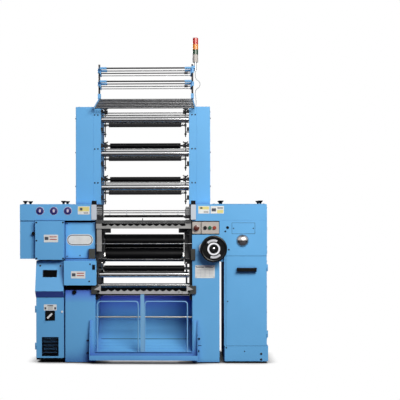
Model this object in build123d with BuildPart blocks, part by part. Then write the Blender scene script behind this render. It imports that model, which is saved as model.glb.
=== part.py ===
"""Crochet knitting machine for narrow elastic fabrics, as separate pieces in one frame.

Millimetres, +Z up, +X to the operator's right, the operator stands at -Y. The origin is the middle
of the machine's footprint, on the floor.
"""
import os
from math import asin, atan2, cos, degrees, hypot, radians, sin, tan

from build123d import *

os.makedirs("parts", exist_ok=True)

# Stance and the two columns
foot_height = 14.0
column_bottom = 6.0
bay_width = 640.0
frame_plate = 19.0
left_column_width = 213.0
right_column_width = 191.0
column_front = -290.0
column_depth = 670.0
housing_corner = 4.0
sheet = 3.0
seam_width = 2.0
seam_depth = 1.0

# Heads that carry the knitting gear
head_top = 1111.0
head_front = -300.0
head_depth = 360.0
band_height = 113.0
left_head_bottom = 729.0
right_head_bottom = 750.0
head_face_setback = 10.0
left_head_overhang = 111.0
neck_drop = 42.0

# Covers on the left side
cover_gap = 3.0
gear_cover_depth = 32.0
gear_cover_drop = 6.0
front_cover_depth = 18.0
front_recess = 40.0
service_box_depth = 45.0
service_box_height = 171.0
service_box_reach = 9.0
cover_corner = 5.0

# Electrical cabinet and console
electrical_width = 198.0
electrical_gap = 7.0
electrical_bottom = 32.0
electrical_top = 459.0
electrical_depth = 336.0
base_frame_height = 12.0
base_frame_inset = 2.0
console_top = 715.0
console_top_setback = 24.0
console_nose = 43.0
console_nose_height = 46.0
window_width = 94.0
window_height = 46.0
window_depth = 4.0
window_drop = 94.0

# On the electrical cabinet's back plate
inverter_inset = 30.0
inverter_width = 100.0
inverter_depth = 120.0
inverter_height = 180.0
inverter_low = 240.0
inverter_fins = 8
inverter_fin_height = 10.0
inverter_fin_depth = 4.0
rail_inset = 20.0
rail_depth = 10.0
rail_height = 16.0
rail_middle = 194.0
contactors = 3
contactor_gap = 6.0
contactor_pitch = 50.0
contactor_width = 44.0
contactor_depth = 80.0
contactor_height = 72.0
terminal_low = 70.0
terminal_height = 34.0
terminal_depth = 40.0

# Doors
door_depth = 14.0
door_gap = 2.0
hinge_radius = 3.5
hinge_pin_radius = 2.0
hinge_length = 24.0
hinge_offset = 4.3

# Right cabinet
cabinet_gap = 32.0
cabinet_width = 298.0
cabinet_depth = 576.0
plinth_height = 106.0
plinth_reach = 8.0
door_jamb = 14.0
handle_length = 135.0
handle_height = 26.0
handle_reach = 32.0
handle_bar = 12.0
handle_foot = 16.0
handle_drop = 96.0

# Running clearances
running = 0.05
rolling_gap = 0.3
slide_gap = 0.5

# Handwheel and buttons
wheel_radius = 93.0
wheel_share = 0.3446
wheel_inset = 42.0
wheel_front = -380.0
wheel_rim_width = 28.0
wheel_web = 12.0
wheel_hub_radius = 24.0
wheel_shaft_radius = 10.0
wheel_boss_radius = 46.0
wheel_boss_offset = 57.0
wheel_boss_depth = 8.0
panel_recess_height = 96.0
panel_recess_depth = 28.0
panel_height = 83.0
panel_face_setback = 2.0
panel_base = 5.0
panel_split = 6.0
stop_box_width = 58.0
stop_radius = 19.5
stop_stem_radius = 11.0
stop_reach = 22.0
stop_travel = 5.0
button_radius = 12.5
button_reach = 8.0
button_travel = 4.0
button_pitch = 32.5
dome_radius = 43.0
dome_rise = 24.0
dome_x = 691.0
dome_lift = 106.0
dome_gap = 6.0
name_plate_left = 618.0
name_plate_width = 158.0
name_plate_height = 74.0

# Towers and yarn feed
left_tower_width = 182.0
right_tower_width = 151.0
tower_front = -40.0
tower_depth = 320.0
tower_top = 1818.0
tower_post = 54.0
feed_sets = 3
feed_pitch = 246.0
feed_lowest = 1235.0
feed_depth = 0.0
feed_radius = 23.0
journal_radius = 10.0
journal_seat = 16.0
end_play = 3.0
press_radius = 19.0
press_half = 258.0
press_journal_radius = 7.0
press_rise = 59.0
press_depth = 34.0
clearer_radius = 15.0
clearer_half = 264.0
clearer_end_radius = 8.0
lever_x = 288.0
lever_width = 24.0
lever_height = 28.0
lever_depth = 32.0
lever_arm = 14.0
rod_radius = 4.0
rod_drop = 122.0
nut_radius = 8.0
nut_height = 12.0
nut_rise = 15.0
wing_span = 21.0
yarn_rod_radius = 5.0
yarn_rod_rise = 33.0
bare_rod_radius = 4.0
stop_block_width = 17.0
stop_block_depth = 30.0
stop_block_height = 26.0
stop_block_drop = 71.0

# Creel above the towers
rack_rods = 6
rack_rod_radius = 6.5
rack_front = -95.0
rack_back = 140.0
rack_front_height = 1806.0
rack_back_height = 1889.0
rack_overhang_front = 12.0
rack_overhang_back = 18.0
rack_foot_front = 20.0
rack_foot_depth = 24.0
rack_bar_low_x = 357.0
rack_bar_high_x = 343.0
rack_rod_seat = 4.0
rack_bar_width = 8.0
rack_bar_height = 14.8
upright_x = 345.0
upright_radius = 7.0
upright_top = 2150.0
upright_foot_height = 36.0
creel_low_level = 2006.0
creel_high_level = 2103.0
creel_reach = 30.0
creel_rises = (16.0, 4.0, -22.0, -32.0)
creel_rod_radii = (5.5, 4.0, 4.0, 3.0)
creel_arm_width = 18.0
creel_plate = 8.0
collar_radius = 8.0
collar_length = 26.0
collar_inset = 20.0
sleeve_radius = 8.5
sleeve_length = 42.0

# Signal lamp and its cable
lamp_x = 367.0
lamp_radius = 21.5
lamp_top = 2345.0
lamp_red_height = 49.0
lamp_amber_height = 39.0
lamp_green_height = 37.0
lamp_base_height = 56.0
lamp_stem_radius = 9.0
lamp_stem_bottom = 2100.0
lamp_arm_height = 18.0
cable_diameter = 5.0
gland_radius = 8.0
gland_height = 18.0

# Knitting zone
frame_front = -262.0
frame_bottom = 440.0
frame_depth = 470.0
comb_front = -306.0
comb_plate = 12.0
comb_reach = 12.0
comb_pitch = 45.0
comb_teeth = 12
comb_bar_height = 18.0
comb_tooth_half = 21.0
comb_tooth_height = 17.5
needle_bed_depth = 8.0
needle_bed_rise = 8.0
upper_comb_z = 941.0
lower_comb_z = 484.0
lower_comb_end_width = 66.0
lower_comb_end_height = 57.0
lower_comb_half = 300.0
comb_leg_width = 34.0
comb_leg_length = 160.0
needle_bar_height = 20.0
needle_bar_depth = 12.0
needle_bar_z = 979.0
needle_guide_radius = 6.0
needle_guide_inset = 15.0
needle_guide_reach = 100.0
guide_block_height = 28.0
guide_block_depth = 30.0
guide_block_width = 28.0
weft_depth = -250.0
weft_rod_radius = 3.5
weft_rod_heights = (1051.0, 1066.0)
weft_bar_low = 1018.0
weft_bar_high = 1036.0
weft_bar_half = 280.0
weft_rod_half = 305.0
weft_block_inner = 290.0
weft_clips = 5
weft_clip_pitch = 120.0
end_cap_width = 36.0
end_cap_bottom = 1002.0
end_cap_depth = 36.0

# Take-down and nip rollers
take_down_radius = 48.6
take_down_half = 281.0
take_down_depth = -150.0
take_down_low = 752.5
take_down_journal = 12.0
bracket_inner = 284.0
bracket_bottom = 690.0
bracket_top = 915.0
bracket_front = -225.0
bracket_back = -85.0
nip_depth = -200.0
nip_black_radius = 21.8
nip_black_half = 285.0
nip_chrome_radius = 21.2
nip_low = 613.7
steel_roller_radius = 15.0
steel_roller_depth = -235.0
steel_roller_height = 539.0
steel_roller_half = 305.0
link_x = 300.0
link_radius = 6.0
link_depth = -165.0
link_bottom = 540.0
front_rod_radius = 3.5
front_rod_depth = -275.0
front_rod_height = 834.0
low_rod_radius = 3.0
low_rod_depth = -215.0
low_rod_height = 722.0

# Lower bay
tray_reach = 55.0
tray_half = 378.0
tray_bottom = 25.0
tray_lip = 58.0
tray_shelf_height = 80.0
cheek_top = 300.0
cheek_flange = 28.0
shelf_front = -302.0
shelf_back = -282.0
chute_folds = ((100.0, 440.0), (100.0, 262.0), (-70.0, 140.0), (-240.0, 82.0))
guard_depth = -295.0
guard_post_width = 26.0
guard_post_depth = 12.0
guard_wire_radius = 4.0
guard_corner = 22.0
guard_top = 431.0
guard_post_x = -9.5
guard_left_wires = (-38.5, -323.5)
guard_right_far = 305.0
fabric_roller_radius = 6.5
fabric_roller_depth = -190.0
fabric_roller_height = 311.0

# Drive inside the right cabinet
drive_x = 702.0
motor_height = 177.0
motor_radius = 84.0
motor_length = 230.0
motor_front = -60.0
motor_foot_width = 160.0
motor_foot_length = 180.0
motor_foot_height = 18.0
motor_fins = 16
terminal_box_width = 90.0
terminal_box_front = 60.0
terminal_box_top = 116.0
main_drop = 150.0
belt_front = -112.0
belt_width = 24.0
belt_thickness = 6.0
motor_pulley_radius = 45.0
main_pulley_radius = 90.0
pulley_flange = 3.0
pulley_lip = 10.0
pulley_bore_radius = 12.0
bearing_plate = 12.0
bearing_plate_front = 0.0
bearing_plate_margin = 21.0

# Places that follow from the sizes above
frame_in = bay_width / 2
frame_out = frame_in + frame_plate
left_out = -(frame_out + left_column_width)
right_out = frame_out + right_column_width
column_back = column_front + column_depth
head_back = head_front + head_depth
head_face = head_front + head_face_setback
band_bottom = head_top - band_height
electrical_right = left_out - electrical_gap
electrical_left = electrical_right - electrical_width
inverter_left = electrical_left + inverter_inset
left_head_out = electrical_left - left_head_overhang
cabinet_left = right_out + cabinet_gap
cabinet_right = cabinet_left + cabinet_width
cabinet_front = column_front + door_depth
cabinet_back = cabinet_front + cabinet_depth
plinth_top = foot_height + plinth_height
main_height = right_head_bottom - main_drop
wheel_x = right_out - wheel_inset
recess_top = band_bottom - 4.0
recess_bottom = recess_top - panel_recess_height
wheel_height = right_head_bottom + wheel_share * (recess_bottom - right_head_bottom)
dome_z = right_head_bottom + dome_lift
feed_heights = [feed_lowest + feed_pitch * index for index in range(feed_sets)]
comb_length = bay_width + 2 * comb_reach
needle_bar_half = comb_length / 2
creel_levels = (creel_low_level, creel_high_level)
creel_arms = [(creel_reach * (2 * (index % 2) - 1), rise) for index, rise in enumerate(creel_rises)]
needle_guide_x = frame_in - needle_guide_inset


def span(side, inner, outer):
    """Low and high X between two distances from the centre line, on one side of it."""
    return tuple(sorted((side * inner, side * outer)))


def block(x_low, x_high, y_low, y_high, z_low, z_high, mode=Mode.ADD):
    """A rectangular block, drawn on its base and extruded up."""
    with BuildSketch(Plane.XY.offset(z_low)) as base:
        with Locations(((x_low + x_high) / 2, (y_low + y_high) / 2)):
            Rectangle(x_high - x_low, y_high - y_low)
    extrude(base.sketch, amount=z_high - z_low, mode=mode)


def side_form(points, x_low, x_high, mode=Mode.ADD):
    """A side outline of (depth, height) points, extruded across the machine."""
    with BuildSketch(Plane.YZ.offset(x_low)) as outline:
        with BuildLine():
            Polyline(*points, close=True)
        make_face()
    extrude(outline.sketch, amount=x_high - x_low, mode=mode)


def cross_rod(radius, x_low, x_high, y, z, mode=Mode.ADD):
    """A round bar or bore that runs across the machine."""
    with BuildSketch(Plane.YZ.offset(x_low)) as section:
        with Locations((y, z)):
            Circle(radius)
    extrude(section.sketch, amount=x_high - x_low, mode=mode)


def depth_rod(radius, x, z, y_low, y_high, mode=Mode.ADD):
    """A round bar or bore that runs from front to back."""
    with BuildSketch(Plane.XZ.offset(-y_low)) as section:
        with Locations((x, z)):
            Circle(radius)
    extrude(section.sketch, amount=y_low - y_high, mode=mode)


def upright_rod(radius, x, y, z_low, z_high, mode=Mode.ADD):
    """A round bar or bore that stands upright."""
    with BuildSketch(Plane.XY.offset(z_low)) as section:
        with Locations((x, y)):
            Circle(radius)
    extrude(section.sketch, amount=z_high - z_low, mode=mode)


def front_panel(x_low, x_high, z_low, z_high, y_front, depth, corner, mode=Mode.ADD):
    """A round-cornered panel seen from the front, extruded back from its face."""
    with BuildSketch(Plane.XZ.offset(-y_front)) as face:
        with Locations(((x_low + x_high) / 2, (z_low + z_high) / 2)):
            RectangleRounded(x_high - x_low, z_high - z_low, corner)
    extrude(face.sketch, amount=-depth, mode=mode)


def turned_roller(barrel_radius, barrel_half, end_radius, end_half, y, z):
    """A roller turned in one piece, with chamfered barrel ends and a journal at each end."""
    chamfer_size = min(1.5, barrel_radius / 8)
    axle = Plane(origin=(0, y, z), x_dir=(1, 0, 0), z_dir=(0, -1, 0))
    with BuildPart() as roller:
        with BuildSketch(axle):
            with BuildLine():
                Polyline(
                    (-end_half, 0),
                    (-end_half, end_radius),
                    (-barrel_half, end_radius),
                    (-barrel_half, barrel_radius - chamfer_size),
                    (-barrel_half + chamfer_size, barrel_radius),
                    (barrel_half - chamfer_size, barrel_radius),
                    (barrel_half, barrel_radius - chamfer_size),
                    (barrel_half, end_radius),
                    (end_half, end_radius),
                    (end_half, 0),
                    close=True,
                )
            make_face()
        revolve(axis=Axis((0, y, z), (1, 0, 0)))
    return roller


def keep(piece, name):
    """Label a finished piece and write its file."""
    piece.part.label = name
    export_step(piece.part, f"parts/{name}.step")


# Columns: folded sheet housings, lower in front, full height behind the heads
def column(x_low, x_high, head_bottom):
    """A column's side outline, extruded over its width, with soft front edges."""
    side_form(
        [
            (column_front, column_bottom),
            (column_back, column_bottom),
            (column_back, head_top),
            (head_back, head_top),
            (head_back, head_bottom),
            (column_front, head_bottom),
        ],
        x_low,
        x_high,
    )


with BuildPart() as left_column:
    column(left_out, -frame_out, left_head_bottom)
    cross_rod(
        fabric_roller_radius + running,
        -frame_out - journal_seat,
        -frame_out,
        fabric_roller_depth,
        fabric_roller_height,
        Mode.SUBTRACT,
    )
    fillet(left_column.edges().filter_by(Axis.Z).group_by(Axis.Y)[0], housing_corner)
keep(left_column, "left_column")

with BuildPart() as right_column:
    column(frame_out, right_out, right_head_bottom)
    cross_rod(
        fabric_roller_radius + running,
        frame_out,
        frame_out + journal_seat,
        fabric_roller_depth,
        fabric_roller_height,
        Mode.SUBTRACT,
    )
    fillet(right_column.edges().filter_by(Axis.Z).group_by(Axis.Y)[0], housing_corner)
keep(right_column, "right_column")

# Levelling feet: a turned pad with a stud, screwed under every housing
foot_pad_radius = 24.0
foot_pad_height = 4.0
foot_stud_radius = 7.0
foot_inset = 34.0


def foot(x, y, top):
    """One levelling foot that reaches from the floor to the given height."""
    with BuildSketch(Plane(origin=(x, y, 0), x_dir=(1, 0, 0), z_dir=(0, -1, 0))) as section:
        with BuildLine():
            Polyline(
                (0, 0),
                (foot_pad_radius, 0),
                (foot_pad_radius, foot_pad_height / 2),
                (foot_stud_radius + 2, foot_pad_height),
                (foot_stud_radius, foot_pad_height),
                (foot_stud_radius, top),
                (0, top),
                close=True,
            )
        make_face()
    revolve(section.sketch, axis=Axis((x, y, 0), (0, 0, 1)))


foot_groups = [
    (left_out, -frame_out, column_front, column_back, column_bottom),
    (frame_out, right_out, column_front, column_back, column_bottom),
    (cabinet_left, cabinet_right, cabinet_front, cabinet_back, foot_height),
    (
        electrical_left,
        electrical_right,
        cabinet_front,
        cabinet_front + electrical_depth,
        electrical_bottom - base_frame_height,
    ),
]
with BuildPart() as levelling_feet:
    for low_x, high_x, low_y, high_y, top in foot_groups:
        for x in (low_x + foot_inset, high_x - foot_inset):
            for y in (low_y + foot_inset, high_y - foot_inset):
                foot(x, y, top)
keep(levelling_feet, "levelling_feet")

# Side frames: cast plates against the columns, bored for the roller journals
with BuildPart() as side_frames:
    for side in (-1, 1):
        low, high = span(side, frame_in, frame_out)
        side_form(
            [
                (frame_front, frame_bottom),
                (frame_front + frame_depth, frame_bottom),
                (frame_front + frame_depth, head_top),
                (frame_front, head_top),
            ],
            low,
            high,
        )
        for y, z in (
            (nip_depth, nip_low),
            (nip_depth, nip_low + nip_chrome_radius + nip_black_radius + rolling_gap),
            (steel_roller_depth, steel_roller_height),
        ):
            cross_rod(journal_radius + running, low, high, y, z, Mode.SUBTRACT)
keep(side_frames, "side_frames")

# Left head: a housing with a proud top band and a recess for the front cover
with BuildPart() as left_head_housing:
    block(left_head_out, -frame_out, head_face, head_back, left_head_bottom, head_top)
    front_panel(left_head_out, -frame_out, band_bottom, head_top, head_front, head_face_setback, cover_corner)
    block(
        left_out - cover_gap,
        -frame_out,
        head_face,
        head_face + front_recess,
        left_head_bottom,
        band_bottom,
        Mode.SUBTRACT,
    )
    block(
        -frame_out - end_cap_width + 9,
        -frame_out,
        head_front,
        head_front + end_cap_depth,
        end_cap_bottom,
        head_top,
        Mode.SUBTRACT,
    )
keep(left_head_housing, "left_head_housing")

# Right head: the button recess, the shaft boss and the neck that joins the cabinet
name_plate_low = dome_z + dome_radius + dome_gap
with BuildPart() as right_head_housing:
    block(frame_out, cabinet_right, column_front, head_back, right_head_bottom, head_top)
    block(right_out, cabinet_left, cabinet_front, head_back, right_head_bottom - neck_drop, right_head_bottom)
    block(
        frame_out,
        right_out,
        column_front,
        column_front + panel_recess_depth,
        recess_bottom,
        recess_top,
        Mode.SUBTRACT,
    )
    block(
        frame_out,
        frame_out + end_cap_width - 9,
        column_front,
        head_front + end_cap_depth,
        end_cap_bottom,
        head_top,
        Mode.SUBTRACT,
    )
    block(
        right_out,
        cabinet_right,
        column_front,
        column_front + seam_depth,
        band_bottom - seam_width,
        band_bottom,
        Mode.SUBTRACT,
    )
    front_panel(
        name_plate_left,
        name_plate_left + name_plate_width,
        name_plate_low,
        name_plate_low + name_plate_height,
        column_front - seam_depth,
        seam_depth,
        cover_corner,
    )
    with BuildSketch(Plane.XZ.offset(-column_front)) as boss:
        with Locations((wheel_x - wheel_boss_offset / 2, wheel_height)):
            SlotCenterToCenter(wheel_boss_offset, 2 * wheel_boss_radius)
    extrude(boss.sketch, amount=wheel_boss_depth)
    depth_rod(
        wheel_shaft_radius + running,
        wheel_x,
        wheel_height,
        column_front - wheel_boss_depth,
        column_front + 40,
        Mode.SUBTRACT,
    )
keep(right_head_housing, "right_head_housing")

# End caps: pale castings at the inner end of both bands
with BuildPart() as head_end_caps:
    for side in (-1, 1):
        low, high = span(side, frame_out - 9, frame_out + end_cap_width - 9)
        front_panel(
            low,
            high,
            end_cap_bottom,
            head_top - 3,
            head_front - 4,
            end_cap_depth + 4,
            3.0,
        )
keep(head_end_caps, "head_end_caps")


def pan_cover(x_low, x_high, z_low, z_high, y_front, depth, corner):
    """A cover folded from sheet: a face with four returns, open at the back."""
    front_panel(x_low, x_high, z_low, z_high, y_front, depth, corner)
    front_panel(
        x_low + sheet,
        x_high - sheet,
        z_low + sheet,
        z_high - sheet,
        y_front + sheet,
        depth - sheet,
        max(corner - sheet, 0.5),
        Mode.SUBTRACT,
    )


with BuildPart() as left_gear_cover:
    pan_cover(
        electrical_left - 1,
        left_out - cover_gap - 2,
        left_head_bottom - gear_cover_drop,
        band_bottom - cover_gap,
        head_face - gear_cover_depth,
        gear_cover_depth,
        cover_corner,
    )
keep(left_gear_cover, "left_gear_cover")

front_cover_face = head_face + front_recess - front_cover_depth
with BuildPart() as left_front_cover:
    pan_cover(
        left_out,
        -frame_out - cover_gap,
        left_head_bottom + cover_gap,
        band_bottom - cover_gap,
        front_cover_face,
        front_cover_depth,
        cover_corner,
    )
keep(left_front_cover, "left_front_cover")

service_top = left_head_bottom - 12
with BuildPart() as service_box:
    pan_cover(
        left_out - 3,
        -frame_out + service_box_reach,
        service_top - service_box_height,
        service_top,
        column_front - service_box_depth,
        service_box_depth,
        cover_corner,
    )
    block(
        -frame_out - 20 - seam_width,
        -frame_out - 20,
        column_front - service_box_depth,
        column_front - service_box_depth + seam_depth,
        service_top - service_box_height,
        service_top,
        Mode.SUBTRACT,
    )
keep(service_box, "service_box")

# Console: a sloped desk over the electrical cabinet, its nose chamfered underneath
console_back = cabinet_front + electrical_depth
console_low = electrical_top + console_nose_height
console_front = column_front - console_nose
console_upper = column_front + console_top_setback
slope_rise = console_top - console_low
slope_run = console_upper - console_front
slope_angle = atan2(slope_rise, slope_run)
with BuildPart() as control_console:
    side_form(
        [
            (column_front, electrical_top),
            (console_back, electrical_top),
            (console_back, console_top),
            (console_upper, console_top),
            (console_front, console_low),
        ],
        electrical_left,
        electrical_right,
    )
    fillet(control_console.edges().filter_by(Axis.X).group_by(Axis.Y)[0], housing_corner)
    slope = Plane(
        origin=(
            (electrical_left + electrical_right) / 2,
            console_upper - window_drop * cos(slope_angle),
            console_top - window_drop * sin(slope_angle),
        ),
        x_dir=(1, 0, 0),
        z_dir=(0, -sin(slope_angle), cos(slope_angle)),
    )
    with BuildSketch(slope) as window:
        RectangleRounded(window_width, window_height, 3.0)
    extrude(window.sketch, amount=-window_depth, mode=Mode.SUBTRACT)
keep(control_console, "control_console")


def knuckle_heights(z_low, z_high):
    """Bottom heights of the two hinge knuckle pairs of a door."""
    return [z_low + 60, z_high - 60 - 2 * hinge_length]


def fixed_knuckles(x_edge, outward, z_low, z_high):
    """The housing's half of each hinge: a leaf on the side wall, a knuckle and the pin."""
    x_axis = x_edge + outward * hinge_offset
    for z in knuckle_heights(z_low, z_high):
        low, high = sorted((x_edge, x_edge + outward * 2.0))
        block(low, high, cabinet_front - door_depth / 2, cabinet_front + 26, z, z + hinge_length - slide_gap)
        upright_rod(hinge_radius, x_axis, cabinet_front - door_depth / 2, z, z + hinge_length - slide_gap)
        upright_rod(
            hinge_pin_radius,
            x_axis,
            cabinet_front - door_depth / 2,
            z + hinge_length - slide_gap,
            z + 2 * hinge_length - 2,
        )


def door_knuckles(x_edge, outward, z_low, z_high):
    """The door's half of each hinge, bored to turn on the pin."""
    x_axis = x_edge + outward * hinge_offset
    leaf = door_depth / 2 - hinge_pin_radius - 1
    for z in knuckle_heights(z_low, z_high):
        low, high = sorted((x_axis, x_edge - outward * (door_gap + 4)))
        block(low, high, column_front, column_front + leaf, z + hinge_length, z + 2 * hinge_length)
        upright_rod(
            hinge_radius,
            x_axis,
            cabinet_front - door_depth / 2,
            z + hinge_length,
            z + 2 * hinge_length,
        )
        upright_rod(
            hinge_pin_radius + running,
            x_axis,
            cabinet_front - door_depth / 2,
            z + hinge_length,
            z + 2 * hinge_length,
            Mode.SUBTRACT,
        )


# Electrical cabinet: an open-fronted sheet box with a flanged mouth
with BuildPart() as electrical_cabinet:
    block(
        electrical_left,
        electrical_right,
        cabinet_front,
        console_back,
        electrical_bottom,
        electrical_top,
    )
    block(
        electrical_left + sheet,
        electrical_right - sheet,
        cabinet_front,
        console_back - sheet,
        electrical_bottom + sheet,
        electrical_top - sheet,
        Mode.SUBTRACT,
    )
    block(
        electrical_left + base_frame_inset,
        electrical_right - base_frame_inset,
        cabinet_front,
        console_back - base_frame_inset,
        electrical_bottom - base_frame_height,
        electrical_bottom,
    )
    fixed_knuckles(electrical_left, -1, electrical_bottom, electrical_top)
keep(electrical_cabinet, "electrical_cabinet")

plate_y = console_back - sheet - 3
with BuildPart() as electrical_plate:
    block(
        electrical_left + 12,
        electrical_right - 12,
        plate_y,
        plate_y + 3,
        electrical_bottom + 16,
        electrical_top - 16,
    )
    block(
        inverter_left,
        inverter_left + inverter_width,
        plate_y - inverter_depth,
        plate_y,
        inverter_low,
        inverter_low + inverter_height,
    )
    for index in range(inverter_fins):
        fin_low = inverter_low + inverter_fin_height * (1 + 2 * index)
        block(
            inverter_left,
            inverter_left + inverter_width,
            plate_y - inverter_depth - inverter_fin_depth,
            plate_y - inverter_depth,
            fin_low,
            fin_low + inverter_fin_height,
        )
    block(
        electrical_left + rail_inset,
        electrical_right - rail_inset,
        plate_y - rail_depth,
        plate_y,
        rail_middle - rail_height / 2,
        rail_middle + rail_height / 2,
    )
    for index in range(contactors):
        contactor_left = electrical_left + rail_inset + contactor_gap + contactor_pitch * index
        block(
            contactor_left,
            contactor_left + contactor_width,
            plate_y - contactor_depth,
            plate_y - rail_depth,
            rail_middle - contactor_height / 2,
            rail_middle + contactor_height / 2,
        )
    block(
        electrical_left + rail_inset,
        electrical_right - rail_inset,
        plate_y - terminal_depth,
        plate_y,
        terminal_low,
        terminal_low + terminal_height,
    )
keep(electrical_plate, "electrical_plate")

vent_x = (-712.0, -600.0)
vent_z = (52.0, 176.0)
vent_slots = 12
isolator_x = -657.0
isolator_z = 331.0
isolator_plate = 68.0
isolator_plate_depth = 4.0
isolator_stem_radius = 6.0
lock_z = 358.0
with BuildPart() as electrical_door:
    pan_cover(
        electrical_left + door_gap,
        electrical_right - door_gap,
        electrical_bottom + door_gap,
        electrical_top - door_gap,
        column_front,
        door_depth - slide_gap,
        cover_corner,
    )
    slot_pitch = (vent_z[1] - vent_z[0]) / vent_slots
    with BuildSketch(Plane.XZ.offset(-column_front)) as slots:
        with Locations((sum(vent_x) / 2, sum(vent_z) / 2)):
            with GridLocations(1, slot_pitch, 1, vent_slots):
                SlotOverall(vent_x[1] - vent_x[0] - 12, slot_pitch / 2)
    extrude(slots.sketch, amount=-sheet, mode=Mode.SUBTRACT)
    front_panel(
        isolator_x - isolator_plate / 2,
        isolator_x + isolator_plate / 2,
        isolator_z - isolator_plate / 2,
        isolator_z + isolator_plate / 2,
        column_front - isolator_plate_depth,
        isolator_plate_depth,
        4.0,
    )
    depth_rod(8.0, electrical_right - 14, lock_z, column_front - 5, column_front)
    door_knuckles(electrical_left, -1, electrical_bottom, electrical_top)
    depth_rod(
        isolator_stem_radius + running,
        isolator_x,
        isolator_z,
        column_front - isolator_plate_depth,
        column_front + sheet,
        Mode.SUBTRACT,
    )
keep(electrical_door, "electrical_door")

isolator_radius = 18.0
isolator_disc = 10.0
isolator_grip_width = 13.0
isolator_grip_length = 48.0
isolator_grip_height = 16.0
isolator_rest = 45.0
isolator_face = column_front - isolator_plate_depth
with BuildPart() as isolator_knob:
    depth_rod(
        isolator_radius,
        isolator_x,
        isolator_z,
        isolator_face - isolator_disc,
        isolator_face - rolling_gap,
    )
    with BuildSketch(Plane.XZ.offset(isolator_disc - isolator_face)) as grip:
        with Locations(Location((isolator_x, isolator_z, 0), (0, 0, isolator_rest))):
            SlotOverall(isolator_grip_length, isolator_grip_width)
    extrude(grip.sketch, amount=isolator_grip_height)
    depth_rod(
        isolator_stem_radius,
        isolator_x,
        isolator_z,
        isolator_face - rolling_gap,
        column_front + sheet + 6,
    )
keep(isolator_knob, "isolator_knob")

# Right cabinet: a sheet box on a plinth, with a bearing plate welded across it
with BuildPart() as right_cabinet:
    block(cabinet_left, cabinet_right, cabinet_front, cabinet_back, foot_height, right_head_bottom)
    block(
        cabinet_left + sheet,
        cabinet_right - sheet,
        cabinet_front + sheet,
        cabinet_back - sheet,
        foot_height + sheet,
        right_head_bottom - sheet,
        Mode.SUBTRACT,
    )
    block(
        cabinet_left + door_jamb + 12,
        cabinet_right - 14,
        cabinet_front,
        cabinet_front + sheet,
        plinth_top + 16,
        right_head_bottom - 14,
        Mode.SUBTRACT,
    )
    block(
        cabinet_left + 4,
        cabinet_right + plinth_reach,
        column_front,
        cabinet_front,
        foot_height,
        plinth_top,
    )
    block(
        cabinet_right,
        cabinet_right + plinth_reach,
        cabinet_front,
        cabinet_back,
        foot_height,
        plinth_top,
    )
    block(
        cabinet_left,
        cabinet_left + door_jamb - door_gap,
        column_front,
        cabinet_front,
        plinth_top,
        right_head_bottom,
    )
    block(
        cabinet_left + sheet,
        cabinet_right - sheet,
        bearing_plate_front,
        bearing_plate_front + bearing_plate,
        main_height - pulley_bore_radius - bearing_plate_margin,
        right_head_bottom - sheet,
    )
    depth_rod(
        pulley_bore_radius + running,
        drive_x,
        main_height,
        bearing_plate_front,
        bearing_plate_front + bearing_plate,
        Mode.SUBTRACT,
    )
    fixed_knuckles(cabinet_right, 1, plinth_top, right_head_bottom)
keep(right_cabinet, "right_cabinet")

door_left = cabinet_left + door_jamb
with BuildPart() as cabinet_door:
    pan_cover(
        door_left,
        cabinet_right - door_gap,
        plinth_top + door_gap,
        right_head_bottom - door_gap,
        column_front,
        door_depth - slide_gap,
        cover_corner,
    )
    door_knuckles(cabinet_right, 1, plinth_top, right_head_bottom)
keep(cabinet_door, "cabinet_door")

# Pull handle: a bridge bar with two feet on the door
handle_mid = 719.5
with BuildPart() as door_handle:
    with BuildSketch(Plane.XY.offset(right_head_bottom - handle_drop - handle_height / 2)):
        with BuildLine():
            Polyline(
                (handle_mid - handle_length / 2, column_front),
                (handle_mid - handle_length / 2, column_front - handle_reach),
                (handle_mid + handle_length / 2, column_front - handle_reach),
                (handle_mid + handle_length / 2, column_front),
                (handle_mid + handle_length / 2 - handle_foot, column_front),
                (handle_mid + handle_length / 2 - handle_foot, column_front - handle_reach + handle_bar),
                (handle_mid - handle_length / 2 + handle_foot, column_front - handle_reach + handle_bar),
                (handle_mid - handle_length / 2 + handle_foot, column_front),
                close=True,
            )
        make_face()
    extrude(amount=handle_height)
    fillet(door_handle.edges().group_by(Axis.Y)[0], handle_bar / 3)
keep(door_handle, "door_handle")

# Chrome dome over the end of the main shaft
with BuildPart() as inspection_dome:
    dome_ball = (dome_radius**2 + dome_rise**2) / (2 * dome_rise)
    with BuildSketch(Plane(origin=(dome_x, column_front, dome_z), x_dir=(1, 0, 0), z_dir=(0, 0, 1))):
        with BuildLine():
            Line((0, 0), (dome_radius, 0))
            Line((dome_radius, 0), (dome_radius, -3))
            RadiusArc((dome_radius, -3), (0, -3 - dome_rise), dome_ball)
            Line((0, -3 - dome_rise), (0, 0))
        make_face()
    revolve(axis=Axis((dome_x, column_front, dome_z), (0, 1, 0)))
keep(inspection_dome, "inspection_dome")

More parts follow.
